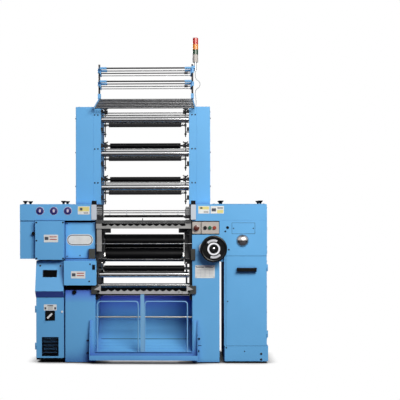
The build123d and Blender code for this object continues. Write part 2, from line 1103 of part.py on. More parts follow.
# Button panel: a stop box and a three-button box on one base, in the head's recess
panel_mid = (recess_top + recess_bottom) / 2
panel_low = panel_mid - panel_height / 2
panel_high = panel_mid + panel_height / 2
panel_face = column_front + panel_face_setback
panel_back = column_front + panel_recess_depth
stop_x = frame_out + 2 + stop_box_width / 2
buttons_low = frame_out + 2 + stop_box_width + panel_split
buttons_mid = (buttons_low + right_out - 3) / 2 - 3
button_bottom = panel_back - panel_base
with BuildPart() as button_panel:
    block(frame_out + 2, right_out - 3, button_bottom, panel_back, panel_low, panel_high)
    front_panel(
        frame_out + 2,
        frame_out + 2 + stop_box_width,
        panel_low,
        panel_high,
        panel_face,
        button_bottom - panel_face,
        3.0,
    )
    front_panel(
        buttons_low,
        right_out - 3,
        panel_low,
        panel_high,
        panel_face,
        button_bottom - panel_face,
        3.0,
    )
    depth_rod(stop_stem_radius + rolling_gap, stop_x, panel_mid, panel_face, button_bottom, Mode.SUBTRACT)
    for index in (-1, 0, 1):
        depth_rod(
            button_radius + rolling_gap,
            buttons_mid + index * button_pitch,
            panel_mid,
            panel_face,
            button_bottom,
            Mode.SUBTRACT,
        )
keep(button_panel, "button_panel")

with BuildPart() as emergency_stop:
    stop_head = 12.0
    stop_crown = 4.0
    stop_ball = (stop_radius**2 + stop_crown**2) / (2 * stop_crown)
    with BuildSketch(Plane(origin=(stop_x, panel_face, panel_mid), x_dir=(1, 0, 0), z_dir=(0, 0, 1))):
        with BuildLine():
            Polyline(
                (0, button_bottom - panel_face - stop_travel - slide_gap),
                (stop_stem_radius, button_bottom - panel_face - stop_travel - slide_gap),
                (stop_stem_radius, -stop_reach + stop_head),
                (stop_radius, -stop_reach + stop_head),
                (stop_radius, -stop_reach + stop_crown),
            )
            RadiusArc((stop_radius, -stop_reach + stop_crown), (0, -stop_reach), stop_ball)
            Line((0, -stop_reach), (0, button_bottom - panel_face - stop_travel - slide_gap))
        make_face()
    revolve(axis=Axis((stop_x, panel_face, panel_mid), (0, 1, 0)))
keep(emergency_stop, "emergency_stop")

for index, colour in ((-1, "black"), (0, "green"), (1, "red")):
    with BuildPart() as push_button:
        depth_rod(
            button_radius,
            buttons_mid + index * button_pitch,
            panel_mid,
            panel_face - button_reach,
            button_bottom - button_travel - slide_gap,
        )
        fillet(push_button.edges().group_by(Axis.Y)[0], 2.0)
    keep(push_button, f"push_button_{colour}")

# Handwheel: a disc wheel with a thick rim, turned with its hub and shaft
with BuildPart() as handwheel:
    rim_depth = 18.0
    web_front = wheel_front + (wheel_rim_width - wheel_web) / 2
    hub_back = column_front - wheel_boss_depth - 6
    with BuildSketch(Plane(origin=(wheel_x, 0, wheel_height), x_dir=(1, 0, 0), z_dir=(0, 0, 1))):
        with BuildLine():
            Polyline(
                (0, wheel_front + 2),
                (wheel_hub_radius, wheel_front + 2),
                (wheel_hub_radius, web_front),
                (wheel_radius - rim_depth, web_front),
                (wheel_radius - rim_depth, wheel_front + 6),
            )
            ThreePointArc(
                (wheel_radius - rim_depth, wheel_front + 6),
                (wheel_radius - rim_depth / 2, wheel_front),
                (wheel_radius, wheel_front + rim_depth / 2),
            )
            Polyline(
                (wheel_radius, wheel_front + rim_depth / 2),
                (wheel_radius, wheel_front + wheel_rim_width - 4),
                (wheel_radius - 4, wheel_front + wheel_rim_width),
                (wheel_radius - rim_depth, wheel_front + wheel_rim_width),
                (wheel_radius - rim_depth, web_front + wheel_web),
                (wheel_hub_radius, web_front + wheel_web),
                (wheel_hub_radius, hub_back),
                (wheel_shaft_radius, hub_back),
                (wheel_shaft_radius, column_front + 36),
                (0, column_front + 36),
                (0, wheel_front + 2),
            )
        make_face()
    revolve(axis=Axis((wheel_x, 0, wheel_height), (0, 1, 0)))
keep(handwheel, "handwheel")

# Cover knobs: funnel knobs on the heads' tops, and a cap over each inner corner
knob_radius = 17.5
knob_foot_radius = 7.0
knob_height = 25.0
knob_front = -270.0
knob_back = -30.0
knob_inset = 35.0
knob_column_gap = 12.0
knob_right_inset = 44.0
knob_places = (
    left_head_out + knob_inset,
    left_out - knob_column_gap,
    right_out + knob_column_gap,
    cabinet_right - knob_right_inset,
)
cap_half = 16.0
cap_depth = 34.0
cap_height = 28.0
cap_seat = head_top - 3.0


def funnel_knob(x, y):
    """A funnel-shaped knob on the head's top."""
    with BuildSketch(Plane(origin=(x, y, head_top), x_dir=(1, 0, 0), z_dir=(0, -1, 0))) as section:
        with BuildLine():
            Line((0, 0), (knob_foot_radius + 3, 0))
            Line((knob_foot_radius + 3, 0), (knob_foot_radius, knob_height * 0.25))
            ThreePointArc(
                (knob_foot_radius, knob_height * 0.25),
                (knob_foot_radius + 4, knob_height * 0.52),
                (knob_radius, knob_height * 0.75),
            )
            Line((knob_radius, knob_height * 0.75), (knob_radius, knob_height))
            Line((knob_radius, knob_height), (0, knob_height))
            Line((0, knob_height), (0, 0))
        make_face()
    revolve(section.sketch, axis=Axis((x, y, head_top), (0, 0, 1)))


with BuildPart() as cover_knobs:
    for x in knob_places:
        for y in (knob_front, knob_back):
            funnel_knob(x, y)
    for side in (-1, 1):
        mid = side * (frame_out + cap_half / 2)
        block(
            mid - cap_half,
            mid + cap_half,
            head_front,
            head_front + cap_depth,
            cap_seat,
            cap_seat + cap_height,
        )
keep(cover_knobs, "cover_knobs")

# Towers: tall housings behind the heads, each with a post that carries the feed rollers
clearer_drop = feed_radius + clearer_radius + rolling_gap


def tower(side, width):
    """One tower with a seam at its post and blind bores for the feed roller journals."""
    low, high = span(side, frame_in, frame_in + width)
    block(low, high, tower_front, tower_front + tower_depth, head_top, tower_top)
    seam = side * (frame_in + tower_post)
    block(
        seam - seam_width / 2,
        seam + seam_width / 2,
        tower_front,
        tower_front + seam_depth,
        head_top,
        tower_top,
        Mode.SUBTRACT,
    )
    low, high = span(side, frame_in, frame_in + journal_seat)
    for height in feed_heights:
        cross_rod(journal_radius + running, low, high, feed_depth, height, Mode.SUBTRACT)


with BuildPart() as left_tower:
    tower(-1, left_tower_width)
    fillet(left_tower.edges().filter_by(Axis.Z).group_by(Axis.X)[0], housing_corner)
keep(left_tower, "left_tower")

with BuildPart() as right_tower:
    tower(1, right_tower_width)
    upright_rod(gland_radius, lamp_x + 5, rack_back, tower_top, tower_top + gland_height)
    fillet(right_tower.edges().filter_by(Axis.Z).group_by(Axis.X)[-1], housing_corner)
keep(right_tower, "right_tower")

# Feed rollers: one driven chrome roller in every set
for number, height in enumerate(reversed(feed_heights), start=1):
    feed_roller = turned_roller(
        feed_radius,
        frame_in - end_play,
        journal_radius,
        frame_in + journal_seat - end_play,
        feed_depth,
        height,
    )
    keep(feed_roller, f"feed_roller_{number}")

# Press rollers: rubber-covered, in the lower two sets
for number, height in enumerate(reversed(feed_heights[:-1]), start=2):
    press_roller = turned_roller(
        press_radius,
        press_half,
        press_journal_radius,
        lever_x + lever_width / 2 - 2,
        press_depth,
        height + press_rise,
    )
    keep(press_roller, f"press_roller_{number}")

# Levers that hold the press rollers, with their arms, threaded rods, wing nuts and lower nuts
with BuildPart() as press_levers:
    for height in feed_heights:
        for side in (-1, 1):
            low, high = span(side, lever_x - lever_width / 2, lever_x + lever_width / 2)
            middle = height + press_rise
            with BuildSketch(Plane.YZ.offset(low)) as lever:
                with Locations((press_depth, middle)):
                    RectangleRounded(lever_depth, lever_height, 5.0)
            extrude(lever.sketch, amount=lever_width)
            low, high = span(side, lever_x + lever_width / 2, frame_in)
            cross_rod(lever_arm / 2, low, high, press_depth, middle)
            rod_x = side * (lever_x + lever_width / 4)
            rod_y = press_depth + lever_depth / 2 - rod_radius - 0.5
            upright_rod(rod_radius, rod_x, rod_y, height - rod_drop, middle + lever_height / 2 + 14)
            nut_low = height - rod_drop + nut_rise
            upright_rod(nut_radius, rod_x, rod_y, nut_low, nut_low + nut_height)
            upright_rod(nut_radius, rod_x, rod_y, middle + lever_height / 2, middle + lever_height / 2 + 8)
            with BuildSketch(Plane.XZ.offset(-rod_y + 2)) as wings:
                with BuildLine():
                    Polyline(
                        (rod_x - 6, middle + lever_height / 2 + 2),
                        (rod_x - wing_span, middle + lever_height / 2 + 12),
                        (rod_x - wing_span + 4, middle + lever_height / 2 + 20),
                        (rod_x, middle + lever_height / 2 + 8),
                        (rod_x + wing_span - 4, middle + lever_height / 2 + 20),
                        (rod_x + wing_span, middle + lever_height / 2 + 12),
                        (rod_x + 6, middle + lever_height / 2 + 2),
                        close=True,
                    )
                make_face()
            extrude(wings.sketch, amount=-4)
            pin_height = nut_low + nut_height + 9
            low, high = span(side, lever_x + lever_width / 4, frame_in)
            cross_rod(rod_radius, low, high, rod_y, pin_height)
            block(
                rod_x - nut_radius,
                rod_x + nut_radius,
                feed_depth,
                rod_y + rod_radius,
                height - clearer_drop - clearer_end_radius,
                height - clearer_drop + clearer_end_radius,
            )
            low, high = span(side, frame_in - stop_block_width, frame_in)
            for block_mid in (middle, height - stop_block_drop):
                block(
                    low,
                    high,
                    tower_front,
                    tower_front + stop_block_depth,
                    block_mid - stop_block_height / 2,
                    block_mid + stop_block_height / 2,
                )
            low, high = span(side, lever_x - lever_width / 2, lever_x + lever_width / 2 - 1)
            if height != feed_heights[-1]:
                cross_rod(press_journal_radius + running, low, high, press_depth, middle, Mode.SUBTRACT)
keep(press_levers, "press_levers")

# Clearer rods: felt-covered rods just under the feed rollers, held by the lever rods
with BuildPart() as clearer_rods:
    for height in feed_heights:
        for side in (-1, 1):
            low, high = span(side, clearer_half, lever_x + lever_width / 4 - nut_radius)
            cross_rod(clearer_end_radius, low, high, feed_depth, height - clearer_drop)
        cross_rod(clearer_radius, -clearer_half, clearer_half, feed_depth, height - clearer_drop)
keep(clearer_rods, "clearer_rods")

# Guide rods: fixed bright rods in the feed sets and in front of the take-down rollers
bare_half = lever_x - lever_width / 2
with BuildPart() as guide_rods:
    for height in feed_heights:
        cross_rod(yarn_rod_radius, -frame_in, frame_in, feed_depth, height + yarn_rod_rise)
    cross_rod(bare_rod_radius, -bare_half, bare_half, press_depth, feed_heights[-1] + press_rise - 6)
    cross_rod(front_rod_radius, -frame_out, frame_out, front_rod_depth, front_rod_height)
    cross_rod(low_rod_radius, -bracket_inner, bracket_inner, low_rod_depth, low_rod_height)
keep(guide_rods, "guide_rods")

# Creel: two uprights with clamp arms, over a slanted rack whose bars stand on the towers
rack_run = rack_back - rack_front
rack_lift = rack_back_height - rack_front_height
rack_slope = rack_lift / rack_run
upright_y = rack_back
arm_face = upright_x - upright_radius - creel_plate + 1


def rack_line(y):
    """Height of the rack's centre line at a depth."""
    return rack_front_height + rack_slope * (y - rack_front)


def rack_inner(y):
    """Distance of a side bar's inner face from the centre line at a depth."""
    return rack_bar_low_x + (rack_bar_high_x - rack_bar_low_x) * (y - rack_front) / rack_run


rack_places = [rack_front + rack_run * index / (rack_rods - 1) for index in range(rack_rods)]
bar_front = rack_front - rack_overhang_front
bar_back = rack_back + rack_overhang_back
rack_feet = (rack_foot_front, rack_back - rack_foot_depth / 2)


def rack_bar(side):
    """A slanted side bar, splayed towards the front, with a seat for every rod."""
    with BuildPart(mode=Mode.PRIVATE) as bar:
        with BuildSketch(Plane.XY.offset(rack_line(bar_front) - 1)) as plan:
            with BuildLine():
                Polyline(
                    (side * rack_inner(bar_front), bar_front),
                    (side * rack_inner(bar_back), bar_back),
                    (side * (rack_inner(bar_back) + rack_bar_width), bar_back),
                    (side * (rack_inner(bar_front) + rack_bar_width), bar_front),
                    close=True,
                )
            make_face()
        extrude(plan.sketch, amount=rack_lift + 2 * rack_bar_height)
        low, high = span(side, rack_bar_high_x - rack_bar_width, rack_bar_low_x + 2 * rack_bar_width)
        side_form(
            [
                (bar_front, rack_line(bar_front) - rack_bar_height / 2),
                (bar_back, rack_line(bar_back) - rack_bar_height / 2),
                (bar_back, rack_line(bar_back) + rack_bar_height / 2),
                (bar_front, rack_line(bar_front) + rack_bar_height / 2),
            ],
            low,
            high,
            Mode.INTERSECT,
        )
        for y in rack_places:
            low, high = span(side, rack_inner(y) - rack_bar_width, rack_inner(y) + rack_rod_seat)
            cross_rod(rack_rod_radius, low, high, y, rack_line(y), Mode.SUBTRACT)
    return bar.part


with BuildPart() as creel_frame:
    for side in (-1, 1):
        add(rack_bar(side))
        for y_low in rack_feet:
            y_high = y_low + rack_foot_depth
            low, high = span(side, rack_inner(y_low) + 1, rack_inner(y_high) + rack_bar_width - 1)
            side_form(
                [
                    (y_low, tower_top),
                    (y_high, tower_top),
                    (y_high, rack_line(y_high) - rack_bar_height / 2),
                    (y_low, rack_line(y_low) - rack_bar_height / 2),
                ],
                low,
                high,
            )
        low, high = span(side, upright_x - upright_radius - 4, upright_x + upright_radius + 4)
        foot_low = rack_back_height + rack_bar_height / 2
        block(low, high, upright_y - 15, upright_y + 15, foot_low, foot_low + upright_foot_height)
        upright_rod(upright_radius, side * upright_x, upright_y, foot_low, upright_top)
        low, high = span(side, arm_face, arm_face + creel_plate)
        for level in creel_levels:
            for arm_y, arm_z in creel_arms:
                length = hypot(arm_y, arm_z)
                lean = degrees(atan2(arm_z, arm_y))
                middle = Location((upright_y + arm_y / 2, level + arm_z / 2, 0), (0, 0, lean))
                with BuildSketch(Plane.YZ.offset(low)) as arm:
                    with Locations(middle):
                        SlotCenterToCenter(length, creel_arm_width)
                extrude(arm.sketch, amount=creel_plate)
            upright_rod(upright_radius + 5, side * upright_x, upright_y, level - 16, level + 16)
            near, far = span(side, arm_face - sleeve_length, arm_face)
            for (arm_y, arm_z), rod in zip(creel_arms[:2], creel_rod_radii):
                cross_rod(sleeve_radius, near, far, upright_y + arm_y, level + arm_z)
                cross_rod(rod, near, far, upright_y + arm_y, level + arm_z, Mode.SUBTRACT)
keep(creel_frame, "creel_frame")

with BuildPart() as creel_rods:
    for y in rack_places:
        reach = rack_inner(y) + rack_rod_seat
        cross_rod(rack_rod_radius, -reach, reach, y, rack_line(y))
    for level in creel_levels:
        for (arm_y, arm_z), radius in zip(creel_arms, creel_rod_radii):
            cross_rod(radius, -arm_face, arm_face, upright_y + arm_y, level + arm_z)
        arm_y, arm_z = creel_arms[2]
        cross_rod(
            collar_radius,
            arm_face - collar_inset - collar_length,
            arm_face - collar_inset,
            upright_y + arm_y,
            level + arm_z,
        )
keep(creel_rods, "creel_rods")

# Signal lamp: a stem clamped to the right upright, a base and three lens modules
lens_levels = [lamp_top]
for lens_height in (lamp_red_height, lamp_amber_height, lamp_green_height, lamp_base_height):
    lens_levels.append(lens_levels[-1] - lens_height)
lamp_groove = 2.0


def lens(bottom, top, crown):
    """One lens module: a turned drum with a narrow seat at its foot."""
    with BuildPart() as module:
        with BuildSketch(Plane(origin=(lamp_x, upright_y, bottom), x_dir=(1, 0, 0), z_dir=(0, -1, 0))):
            with BuildLine():
                Polyline(
                    (0, 0),
                    (lamp_radius - 2, 0),
                    (lamp_radius - 2, lamp_groove),
                    (lamp_radius, lamp_groove),
                    (lamp_radius, top - bottom - crown),
                    (lamp_radius - crown, top - bottom),
                    (0, top - bottom),
                    close=True,
                )
            make_face()
        revolve(axis=Axis((lamp_x, upright_y, bottom), (0, 0, 1)))
    return module


for index, colour in enumerate(("red", "amber", "green")):
    lens_module = lens(lens_levels[index + 1], lens_levels[index], 4.0 if index == 0 else 0.5)
    keep(lens_module, f"lamp_{colour}")

with BuildPart() as lamp_base:
    upright_rod(lamp_radius - 0.5, lamp_x, upright_y, lens_levels[4], lens_levels[3])
    upright_rod(lamp_stem_radius, lamp_x, upright_y, lamp_stem_bottom, lens_levels[4])
    arm_low = upright_top - 12 - lamp_arm_height
    block(
        upright_x - upright_radius + 2,
        lamp_x,
        upright_y - 12,
        upright_y + 12,
        arm_low,
        arm_low + lamp_arm_height,
    )
    upright_rod(upright_radius, upright_x, upright_y, arm_low, arm_low + lamp_arm_height, Mode.SUBTRACT)
keep(lamp_base, "lamp_base")

# Lamp cable: from the stem down beside the upright, in one bight, to the gland on the tower
cable_points = [
    (367.0, 140.0, 2100.0),
    (367.0, 140.0, 2076.0),
    (368.0, 140.0, 2050.0),
    (377.0, 139.0, 2034.4),
    (392.6, 137.5, 2025.4),
    (401.6, 136.0, 2009.8),
    (401.6, 135.5, 1991.8),
    (392.6, 136.5, 1976.2),
    (377.0, 138.0, 1967.2),
    (368.0, 139.5, 1951.6),
    (367.0, 140.5, 1925.0),
    (371.0, 141.0, 1898.0),
    (373.8, 140.5, 1872.0),
    (372.0, 140.0, 1852.0),
    (372.0, 140.0, 1836.0),
]
cable_radii = []
for before, corner, after in zip(cable_points, cable_points[1:], cable_points[2:]):
    run_in = Vector(corner) - Vector(before)
    run_out = Vector(after) - Vector(corner)
    half_turn = radians(run_in.get_angle(run_out)) / 2
    cable_radii.append(0.45 * min(run_in.length, run_out.length) / tan(half_turn))
with BuildPart() as lamp_cable:
    with BuildLine(mode=Mode.PRIVATE) as cable_route:
        FilletPolyline(*cable_points, radius=cable_radii)
    cable_path = cable_route.wires()[0]
    with BuildSketch(Plane(origin=cable_path @ 0, z_dir=cable_path % 0)) as cable_section:
        Circle(cable_diameter / 2)
    sweep(cable_section.sketch, path=cable_path)
keep(lamp_cable, "lamp_cable")


# Scalloped comb bars: a flat bar with a row of arched teeth, and a needle bed behind them
def comb_face(half_length, z_low):
    """A comb bar whose teeth are a row of ellipses on its top edge, on its needle bed."""
    with BuildSketch(Plane.XZ.offset(-comb_front)) as face:
        with Locations((0, z_low + comb_bar_height / 2)):
            Rectangle(2 * half_length, comb_bar_height)
        with Locations((0, z_low + comb_bar_height)):
            with GridLocations(comb_pitch, 1, comb_teeth, 1):
                Ellipse(comb_tooth_half, comb_tooth_height)
    extrude(face.sketch, amount=-comb_plate)
    block(
        -half_length,
        half_length,
        comb_front + comb_plate,
        comb_front + comb_plate + needle_bed_depth,
        z_low + needle_bed_rise,
        z_low + comb_bar_height + comb_tooth_height,
    )


with BuildPart() as upper_comb_bar:
    comb_face(comb_length / 2, upper_comb_z)
    for side in (-1, 1):
        low, high = span(side, frame_in, comb_length / 2)
        block(low, high, comb_front + comb_plate, frame_front, upper_comb_z, upper_comb_z + comb_bar_height)
        low, high = span(side, comb_length / 2 - 40, comb_length / 2)
        front_panel(low, high, upper_comb_z, upper_comb_z + 34, comb_front, comb_plate, 2.0)
    block(
        -comb_length / 2 + 4,
        -comb_length / 2 + 4 + comb_leg_width,
        comb_front + comb_plate,
        comb_front + comb_plate + needle_bed_depth,
        upper_comb_z - comb_leg_length,
        upper_comb_z + comb_bar_height,
    )
keep(upper_comb_bar, "upper_comb_bar")

with BuildPart() as lower_comb_bar:
    comb_face(lower_comb_half, lower_comb_z)
    for side in (-1, 1):
        low, high = span(side, lower_comb_half, lower_comb_half + lower_comb_end_width)
        front_panel(
            low,
            high,
            lower_comb_z,
            lower_comb_z + lower_comb_end_height,
            comb_front,
            column_front - comb_front,
            4.0,
        )
        depth_rod(
            5.0,
            side * (lower_comb_half + lower_comb_end_width - 16),
            lower_comb_z + lower_comb_end_height / 2,
            comb_front - 5,
            comb_front,
        )
        depth_rod(9.0, side * (lower_comb_half + 16), lower_comb_z + 18, comb_front - 4, comb_front)
keep(lower_comb_bar, "lower_comb_bar")

# Needle bar: a flat bar on two guide rods, driven back and forth in the guide blocks
needle_mid = needle_bar_z + needle_bar_height / 2
with BuildPart() as needle_bar:
    front_panel(
        -needle_bar_half,
        needle_bar_half,
        needle_bar_z,
        needle_bar_z + needle_bar_height,
        comb_front,
        needle_bar_depth,
        2.0,
    )
    for side in (-1, 1):
        depth_rod(
            needle_guide_radius,
            side * needle_guide_x,
            needle_mid,
            comb_front + needle_bar_depth,
            comb_front + needle_bar_depth + needle_guide_reach,
        )
    upright_rod(
        3.0,
        -7.0,
        comb_front + needle_bar_depth / 2,
        needle_bar_z + needle_bar_height,
        needle_bar_z + needle_bar_height + 14,
    )
keep(needle_bar, "needle_bar")

# Weft bars: two bright rods and a black bar tied by clips, sliding crosswise in end blocks
with BuildPart() as weft_bars:
    for z in weft_rod_heights:
        cross_rod(weft_rod_radius, -weft_rod_half, weft_rod_half, weft_depth, z)
    block(-weft_bar_half, weft_bar_half, weft_depth - 4, weft_depth + 4, weft_bar_low, weft_bar_high)
    for index in range(weft_clips):
        x = (index - (weft_clips - 1) / 2) * weft_clip_pitch
        block(x - 4, x + 4, weft_depth - 3, weft_depth + 3, weft_bar_high, weft_rod_heights[-1] + 6)
keep(weft_bars, "weft_bars")

# Bearing brackets: cast plates for the take-down rollers, guide blocks, end bearings and links
take_down_high = take_down_low + 2 * take_down_radius + rolling_gap
bracket_lug = 40.0
bracket_lug_depth = 40.0
end_bearing_low = 720.0
end_bearing_high = 798.0
with BuildPart() as bearing_brackets:
    for side in (-1, 1):
        low, high = span(side, bracket_inner, frame_in)
        side_form(
            [
                (bracket_front, bracket_bottom),
                (bracket_back, bracket_bottom),
                (bracket_back, bracket_top),
                (take_down_depth - take_down_radius - 12, bracket_top),
                (take_down_depth - take_down_radius - 12, take_down_low + 20),
                (bracket_front, take_down_low - 6),
            ],
            low,
            high,
        )
        for z in (take_down_low, take_down_high):
            cross_rod(take_down_journal + running, low, high, take_down_depth, z, Mode.SUBTRACT)
        low, high = span(side, bracket_inner - bracket_lug, bracket_inner)
        lug_front = bracket_back - bracket_lug_depth + 10
        block(low, high, lug_front, bracket_back, bracket_top - 8, bracket_top + 26)
        low, high = span(side, bracket_inner, frame_in)
        block(low, high, lug_front, bracket_back, bracket_top, bracket_top + 26)
        low, high = span(side, frame_in - guide_block_width, frame_in)
        block(
            low,
            high,
            frame_front,
            frame_front + guide_block_depth,
            needle_mid - guide_block_height / 2,
            needle_mid + guide_block_height / 2,
        )
        depth_rod(
            needle_guide_radius + running,
            side * needle_guide_x,
            needle_mid,
            frame_front,
            frame_front + guide_block_depth,
            Mode.SUBTRACT,
        )
        low, high = span(side, weft_block_inner, frame_in)
        block(low, high, weft_depth - 11, weft_depth + 15, weft_bar_low - 8, weft_rod_heights[-1] + 12)
        for z in weft_rod_heights:
            cross_rod(weft_rod_radius + running, low, high, weft_depth, z, Mode.SUBTRACT)
        upright_rod(link_radius, side * link_x, link_depth, link_bottom, bracket_bottom)
        low, high = span(side, link_x, frame_in)
        cross_rod(link_radius, low, high, link_depth, link_bottom + link_radius)
    block(
        -frame_out - 46,
        -frame_out - cover_gap,
        front_cover_face - 24,
        front_cover_face,
        left_head_bottom,
        end_bearing_high,
    )
    block(
        frame_out - 8,
        frame_out + 22,
        column_front - 12,
        column_front,
        end_bearing_low,
        end_bearing_high,
    )
keep(bearing_brackets, "bearing_brackets")

# Take-down, nip and delivery rollers
for name, height in (("lower", take_down_low), ("upper", take_down_high)):
    take_down_roller = turned_roller(
        take_down_radius,
        take_down_half,
        take_down_journal,
        frame_in - end_play,
        take_down_depth,
        height,
    )
    keep(take_down_roller, f"take_down_roller_{name}")

journal_end = frame_out - end_play
nip_high = nip_low + nip_chrome_radius + nip_black_radius + rolling_gap
nip_roller_lower = turned_roller(
    nip_chrome_radius, frame_in - end_play, journal_radius, journal_end, nip_depth, nip_low
)
keep(nip_roller_lower, "nip_roller_lower")
nip_roller_upper = turned_roller(
    nip_black_radius, nip_black_half, journal_radius, journal_end, nip_depth, nip_high
)
keep(nip_roller_upper, "nip_roller_upper")
steel_roller = turned_roller(
    steel_roller_radius,
    steel_roller_half,
    journal_radius,
    journal_end,
    steel_roller_depth,
    steel_roller_height,
)
keep(steel_roller, "steel_roller")

with BuildPart() as fabric_roller:
    fabric_end = frame_out + journal_seat - end_play
    cross_rod(fabric_roller_radius, -fabric_end, fabric_end, fabric_roller_depth, fabric_roller_height)
keep(fabric_roller, "fabric_roller")

# Catch tray: a folded tray in front of the columns, its cheeks, its shelf and the fabric chute
with BuildPart() as catch_tray:
    tray_front = column_front - tray_reach
    block(-tray_half, tray_half, tray_front, column_front, tray_bottom, tray_bottom + sheet)
    block(-tray_half, tray_half, tray_front, tray_front + sheet, tray_bottom, tray_lip)
    block(-frame_out, frame_out, column_front - sheet, column_front, tray_bottom, tray_shelf_height - sheet)
    block(-frame_out, frame_out, shelf_front, shelf_back, tray_shelf_height - sheet, tray_shelf_height)
    for side in (-1, 1):
        low, high = span(side, tray_half - sheet, tray_half)
        side_form(
            [
                (tray_front, tray_bottom),
                (column_front, tray_bottom),
                (column_front, cheek_top),
                (column_front - 12, cheek_top),
                (tray_front, tray_lip + 18),
            ],
            low,
            high,
        )
        low, high = span(side, tray_half - cheek_flange, tray_half)
        block(low, high, column_front - sheet, column_front, tray_bottom, cheek_top)
        low, high = span(side, frame_out - sheet, tray_half - cheek_flange)
        block(low, high, column_front - sheet, column_front, tray_bottom, tray_shelf_height)
    lower_face = [(y + sheet, z - sheet) for y, z in chute_folds]
    side_form(
        [
            *chute_folds,
            (shelf_back, tray_shelf_height),
            (shelf_back, tray_shelf_height - sheet),
            *reversed(lower_face[1:]),
            (chute_folds[0][0] + sheet, chute_folds[0][1]),
        ],
        -frame_out,
        frame_out,
    )
keep(catch_tray, "catch_tray")

# Guard frame: a centre post with a bent wire loop on each side, standing on the tray's shelf
guard_right_near = guard_post_x + guard_post_width / 2 + guard_wire_radius - 0.5


def wire_loop(side, near, far):
    """One wire loop: up near the post, across with two round corners, and down at the column."""
    shoulder = guard_top - guard_corner
    reach = guard_corner * (1 - cos(radians(45)))
    with BuildLine() as wire:
        Line((near, guard_depth, tray_shelf_height), (near, guard_depth, shoulder))
        ThreePointArc(
            (near, guard_depth, shoulder),
            (near + side * reach, guard_depth, guard_top - reach),
            (near + side * guard_corner, guard_depth, guard_top),
        )
        Line(
            (near + side * guard_corner, guard_depth, guard_top),
            (far - side * guard_corner, guard_depth, guard_top),
        )
        ThreePointArc(
            (far - side * guard_corner, guard_depth, guard_top),
            (far - side * reach, guard_depth, guard_top - reach),
            (far, guard_depth, shoulder),
        )
        Line((far, guard_depth, shoulder), (far, guard_depth, tray_shelf_height))
    with BuildSketch(Plane(origin=(near, guard_depth, tray_shelf_height), z_dir=(0, 0, 1))) as section:
        Circle(guard_wire_radius)
    sweep(section.sketch, path=wire.wires()[0])


with BuildPart() as guard_frame:
    block(
        guard_post_x - guard_post_width / 2,
        guard_post_x + guard_post_width / 2,
        guard_depth - guard_post_depth / 2,
        guard_depth + guard_post_depth / 2,
        tray_shelf_height,
        lower_comb_z,
    )
    wire_loop(-1, *guard_left_wires)
    wire_loop(1, guard_right_near, guard_right_far)
keep(guard_frame, "guard_frame")

# Drive in the right cabinet: motor on the floor, belt up to the main pulley
cabinet_floor = foot_height + sheet
shaft_front = belt_front - 6
with BuildPart() as motor:
    depth_rod(motor_radius - 8, drive_x, motor_height, motor_front, motor_front + motor_length)
    depth_rod(motor_radius, drive_x, motor_height, motor_front, motor_front + 14)
    depth_rod(
        motor_radius,
        drive_x,
        motor_height,
        motor_front + motor_length - 50,
        motor_front + motor_length,
    )
    with BuildSketch(Plane.XZ.offset(-motor_front)) as fins:
        with Locations((drive_x, motor_height)):
            with PolarLocations(motor_radius - 8, motor_fins):
                Rectangle(14, 4)
    extrude(fins.sketch, amount=-(motor_length - 50))
    block(
        drive_x - motor_foot_width / 2,
        drive_x + motor_foot_width / 2,
        motor_front + 10,
        motor_front + 10 + motor_foot_length,
        cabinet_floor,
        cabinet_floor + motor_foot_height,
    )
    block(
        drive_x - motor_foot_width / 4,
        drive_x + motor_foot_width / 4,
        motor_front + 20,
        motor_front + motor_foot_length,
        cabinet_floor + motor_foot_height,
        motor_height - motor_radius / 2,
    )
    block(
        drive_x - terminal_box_width / 2,
        drive_x + terminal_box_width / 2,
        motor_front + terminal_box_front,
        motor_front + terminal_box_front + terminal_box_width,
        motor_height + motor_radius / 2,
        motor_height + terminal_box_top,
    )
    depth_rod(pulley_bore_radius, drive_x, motor_height, shaft_front, motor_front)
keep(motor, "motor")


def belt_pulley(radius, height, bore, shaft_end):
    """A flat-belt pulley with a flange each side of the belt, on a bore or its own shaft."""
    with BuildPart() as pulley:
        depth_rod(radius, drive_x, height, belt_front - 1, belt_front + belt_width + 1)
        depth_rod(radius + pulley_lip, drive_x, height, belt_front - 1 - pulley_flange, belt_front - 1)
        depth_rod(
            radius + pulley_lip,
            drive_x,
            height,
            belt_front + belt_width + 1,
            belt_front + belt_width + 1 + pulley_flange,
        )
        if bore:
            depth_rod(
                bore,
                drive_x,
                height,
                belt_front - 1 - pulley_flange,
                belt_front + belt_width + 1 + pulley_flange,
                Mode.SUBTRACT,
            )
        else:
            with BuildSketch(Plane.XZ.offset(-belt_front + 1 + pulley_flange)) as lightening:
                with Locations((drive_x, height)):
                    with PolarLocations(radius * 0.58, 5):
                        Circle(radius * 0.17)
            extrude(
                lightening.sketch,
                amount=-(belt_width + 2 + 2 * pulley_flange),
                mode=Mode.SUBTRACT,
            )
            depth_rod(pulley_bore_radius, drive_x, height, shaft_front - 4, shaft_end)
    return pulley


main_pulley = belt_pulley(
    main_pulley_radius, main_height, 0, bearing_plate_front + bearing_plate + 8
)
keep(main_pulley, "main_pulley")
motor_pulley = belt_pulley(
    motor_pulley_radius, motor_height, pulley_bore_radius + running, 0
)
keep(motor_pulley, "motor_pulley")

belt_lean = asin((main_pulley_radius - motor_pulley_radius) / (main_height - motor_height))


